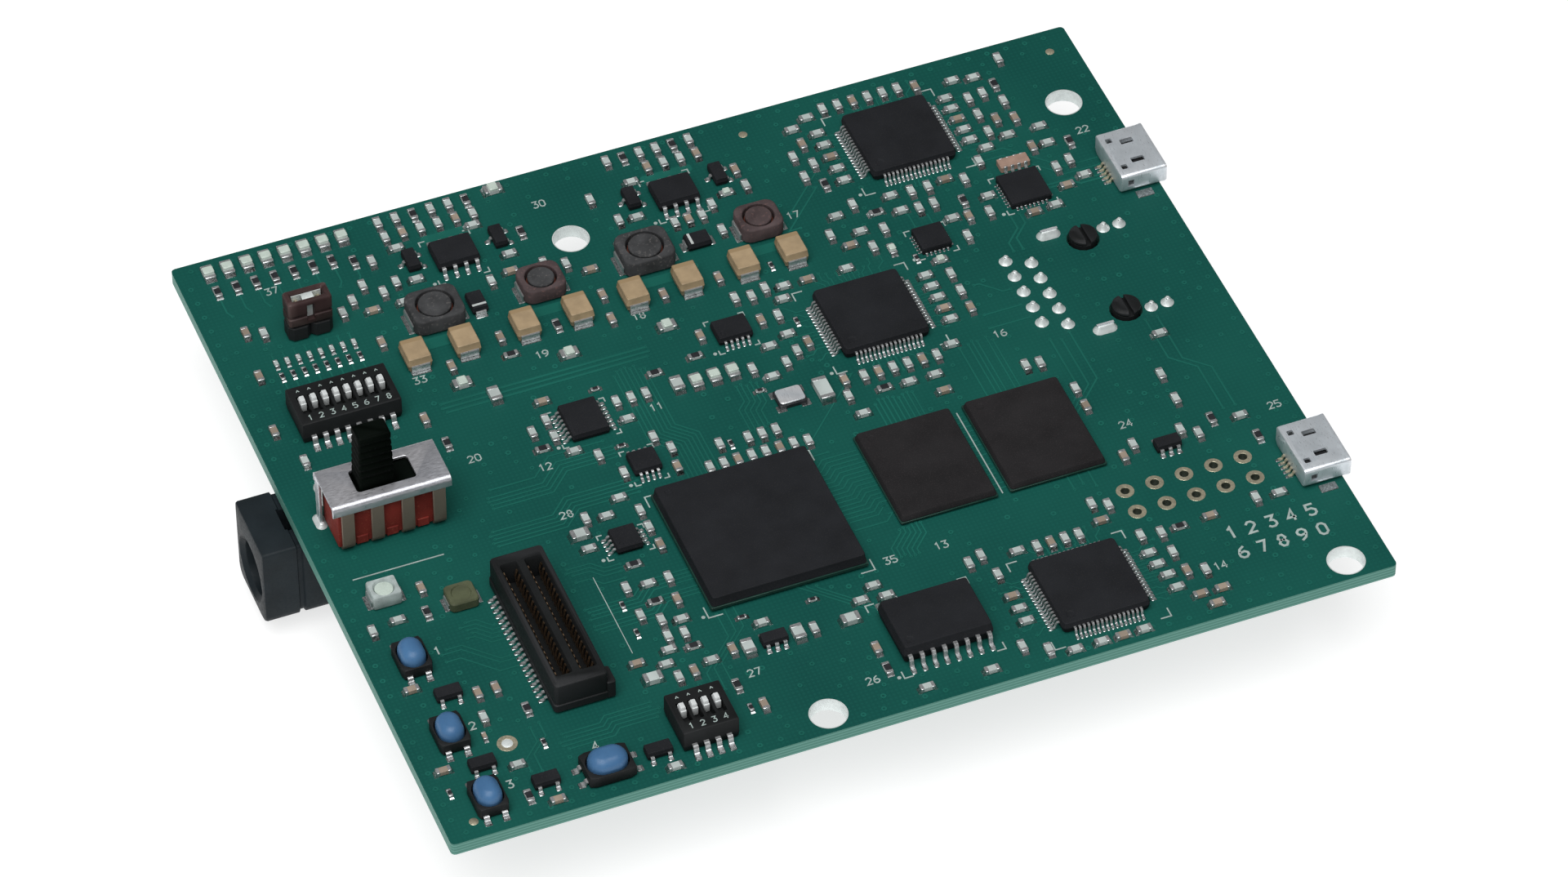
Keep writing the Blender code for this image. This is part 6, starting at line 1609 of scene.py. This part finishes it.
# underside copper
for i in range(26):
    y0 = 6.0 + 3.1 * i
    x0, x1 = rng.uniform(14, 30), rng.uniform(58, 80)
    st = rng.uniform(-3, 3)
    if 41.0 < y0 < 62.0:
        x0 = max(x0, 20.0)
    xm = (x0 + x1) / 2
    copper_under.track([(x0, y0), (xm - abs(st), y0), (xm + abs(st), y0 + st), (x1, y0 + st)], 0.3, -0.034, 0.01)
    copper_under.ring(x0, y0, 0.14, 0.36, -0.04, 0.01, 10)
    copper_under.ring(x1, y0 + st, 0.14, 0.36, -0.04, 0.01, 10)
for i in range(18):
    x0 = 34.0 + 2.6 * i
    y0, y1 = rng.uniform(4, 12), rng.uniform(24, 40)
    copper_under.track([(x0, y0), (x0, (y0 + y1) / 2), (x0 + 1.2, (y0 + y1) / 2 + 1.2), (x0 + 1.2, y1)], 0.25, -0.046, 0.01)
for a, b in spots[::3]:
    copper_under.ring(a, b, 0.12, 0.34, -0.04, 0.01, 10)
silk_under.track([(81.5, 42.4), (105.0, 42.4)], 0.2, -0.025, 0.01)
silk_under.track([(81.5, 60.6), (105.0, 60.6)], 0.2, -0.025, 0.01)
silk_under.track([(81.5, 42.4), (81.5, 60.6)], 0.2, -0.025, 0.01)
silk_under.track([(1.0, 46.2), (11.4, 46.2), (11.4, 56.8), (1.0, 56.8)], 0.2, -0.025, 0.01)

# ================================================================ 14. silkscreen
# line in front of the slide switch, between the memory chips and beside the board-to-board socket
silk.track([(3.0, 38.6), (13.2, 38.6)], 0.14, TOP - 0.01, TOP + 0.055)
silk.track([(71.4, 25.0), (71.4, 37.8)], 0.14, TOP - 0.01, TOP + 0.055)
silk.track([(26.6, 18.0), (26.6, 29.6)], 0.09, TOP - 0.01, TOP + 0.055)
for k in range(4):
    x, y = ((7.8, 25.8), (7.6, 14.6), (8.4, 5.6), (18.4, 7.3))[k]
    if clear_of(x, y, 0.55):
        digits(silk, str(k + 1), x, y, 1.0, TOP - 0.01, TOP + 0.055, 0.16)
# plain numerals: two rows by the front data socket, index numbers by the chips
for r_, row in enumerate(("12345", "67890")):
    for c_, t in enumerate(row):
        digits(silk, t, 91.6 + 2.3 * c_, 10.7 - 3.0 * r_, 1.55, TOP - 0.01, TOP + 0.055, 0.27)
for k, (x, y) in enumerate(((41.8, 50.6), (27.6, 46.6), (62.4, 20.4), (88.6, 6.8), (66.2, 12.6), (80.4, 47.2), (66.4, 72.6), (45.0, 64.2), (33.2, 62.6),
                            (21.0, 50.6), (93.6, 60.6), (101.4, 73.4), (100.2, 58.6), (87.6, 29.6), (103.6, 26.4), (48.4, 5.2), (37.4, 10.8), (27.2, 39.2),
                            (20.0, 35.2), (41.0, 84.6), (64.6, 85.0), (95.6, 79.6), (19.6, 63.8), (69.4, 69.4), (56.6, 20.4), (85.0, 84.4), (9.2, 82.6))):
    if clear_of(x - 0.4, y, 0.6) and clear_of(x + 0.4, y, 0.6):
        digits(silk, str(11 + k), x, y, 0.95, TOP - 0.01, TOP + 0.055, 0.14)

# ================================================================ write out the shared shells
for s in (tin, solder, bright, gold, mould, black, white, ceramic, film, chipcap, chipgrey, lens, silk, copper):
    s.m = None
tin.make("small_part_terminals", M_TIN)
solder.make("small_part_solder", M_SOLDER)
bright.make("through_hole_joints", M_BRIGHT)
gold.make("plated_holes", M_GOLD)
barrel.make("plated_hole_walls", M_BARREL)
mould.make("small_chip_cases", M_MOULD, slot="chip_mould")
black.make("network_pegs", M_BLACK, slot="black_plastic")
ceramic.make("resistor_bodies", M_CERAMIC)
film.make("resistor_glazes", M_FILM)
chipcap.make("capacitor_bodies_tan", M_CHIPCAP)
chipgrey.make("capacitor_bodies_pale", M_CHIPGREY)
lens.make("lamp_lenses", M_LENS)
silk.make("silkscreen", M_SILK)
copper.make("masked_copper", M_COPPER)
copper_under.make("masked_copper_underside", M_COPPER)
silk_under.make("silkscreen_underside", M_SILK)
print("small parts placed:", n_passive, "refused:", len(refused))
for r_ in refused:
    print("  no room:", r_[0], round(r_[1], 1), round(r_[2], 1))

# ================================================================ stage, light and camera
floor_mesh = bpy.data.meshes.new("floor")
floor_mesh.from_pydata([(-3, -3, -0.01376), (3, -3, -0.01376), (3, 3, -0.01376), (-3, 3, -0.01376)], [], [(0, 1, 2, 3)])
floor = bpy.data.objects.new("floor", floor_mesh)
bpy.context.scene.collection.objects.link(floor)
floor_mat = bpy.data.materials.new("floor")
floor_mat.use_nodes = True
fb = floor_mat.node_tree.nodes["Principled BSDF"]
fb.inputs["Base Color"].default_value = (0.42, 0.42, 0.42, 1)
fb.inputs["Roughness"].default_value = 0.9
fb.inputs["Specular IOR Level"].default_value = 0.1
fb.inputs["Emission Color"].default_value = (1, 1, 1, 1)
fb.inputs["Emission Strength"].default_value = 0.72
floor_mesh.materials.append(floor_mat)

world = bpy.data.worlds.new("studio")
world.use_nodes = True
world.node_tree.nodes["Background"].inputs["Color"].default_value = (1.0, 1.0, 1.0, 1)
world.node_tree.nodes["Background"].inputs["Strength"].default_value = 0.14
bpy.context.scene.world = world


def softbox(name, at, aim, size, watts, colour=(1, 1, 1)):
    d = bpy.data.lights.new(name, "AREA")
    d.shape, d.size, d.energy, d.color = "SQUARE", size, watts, colour
    ob = bpy.data.objects.new(name, d)
    ob.location = at
    ob.rotation_euler = (Vector(aim) - Vector(at)).to_track_quat("-Z", "Y").to_euler()
    bpy.context.scene.collection.objects.link(ob)
    return ob


softbox("overhead", (-0.22, -0.30, 0.95), (0, 0, 0), 0.9, 12.0)
softbox("left_fill", (-0.75, -0.45, 0.45), (0, 0, 0), 0.6, 0.8)

AZ, EL, F, DIST, CX, CY = -21.7208, 45.8286, 9500.0, 833.563, 1.2113, -1.4305
a, e = math.radians(AZ), math.radians(EL)
back = Vector((math.sin(a) * math.cos(e), -math.cos(a) * math.cos(e), math.sin(e)))
right = Vector((math.cos(a), math.sin(a), 0.0))
up = back.cross(right)
eye = (right * CX + up * CY + back * DIST) / 1000.0
cam = bpy.data.cameras.new("camera")
cam.sensor_fit, cam.sensor_width, cam.lens = "HORIZONTAL", 36.0, F / 1920.0 * 36.0
cam.clip_start, cam.clip_end = 0.01, 50.0
cam_ob = bpy.data.objects.new("camera", cam)
cam_ob.matrix_world = Matrix(((right.x, up.x, back.x, eye.x), (right.y, up.y, back.y, eye.y), (right.z, up.z, back.z, eye.z), (0, 0, 0, 1)))
bpy.context.scene.collection.objects.link(cam_ob)
bpy.context.scene.camera = cam_ob
bpy.context.scene.view_settings.view_transform = "Standard"

bpy.context.view_layer.update()
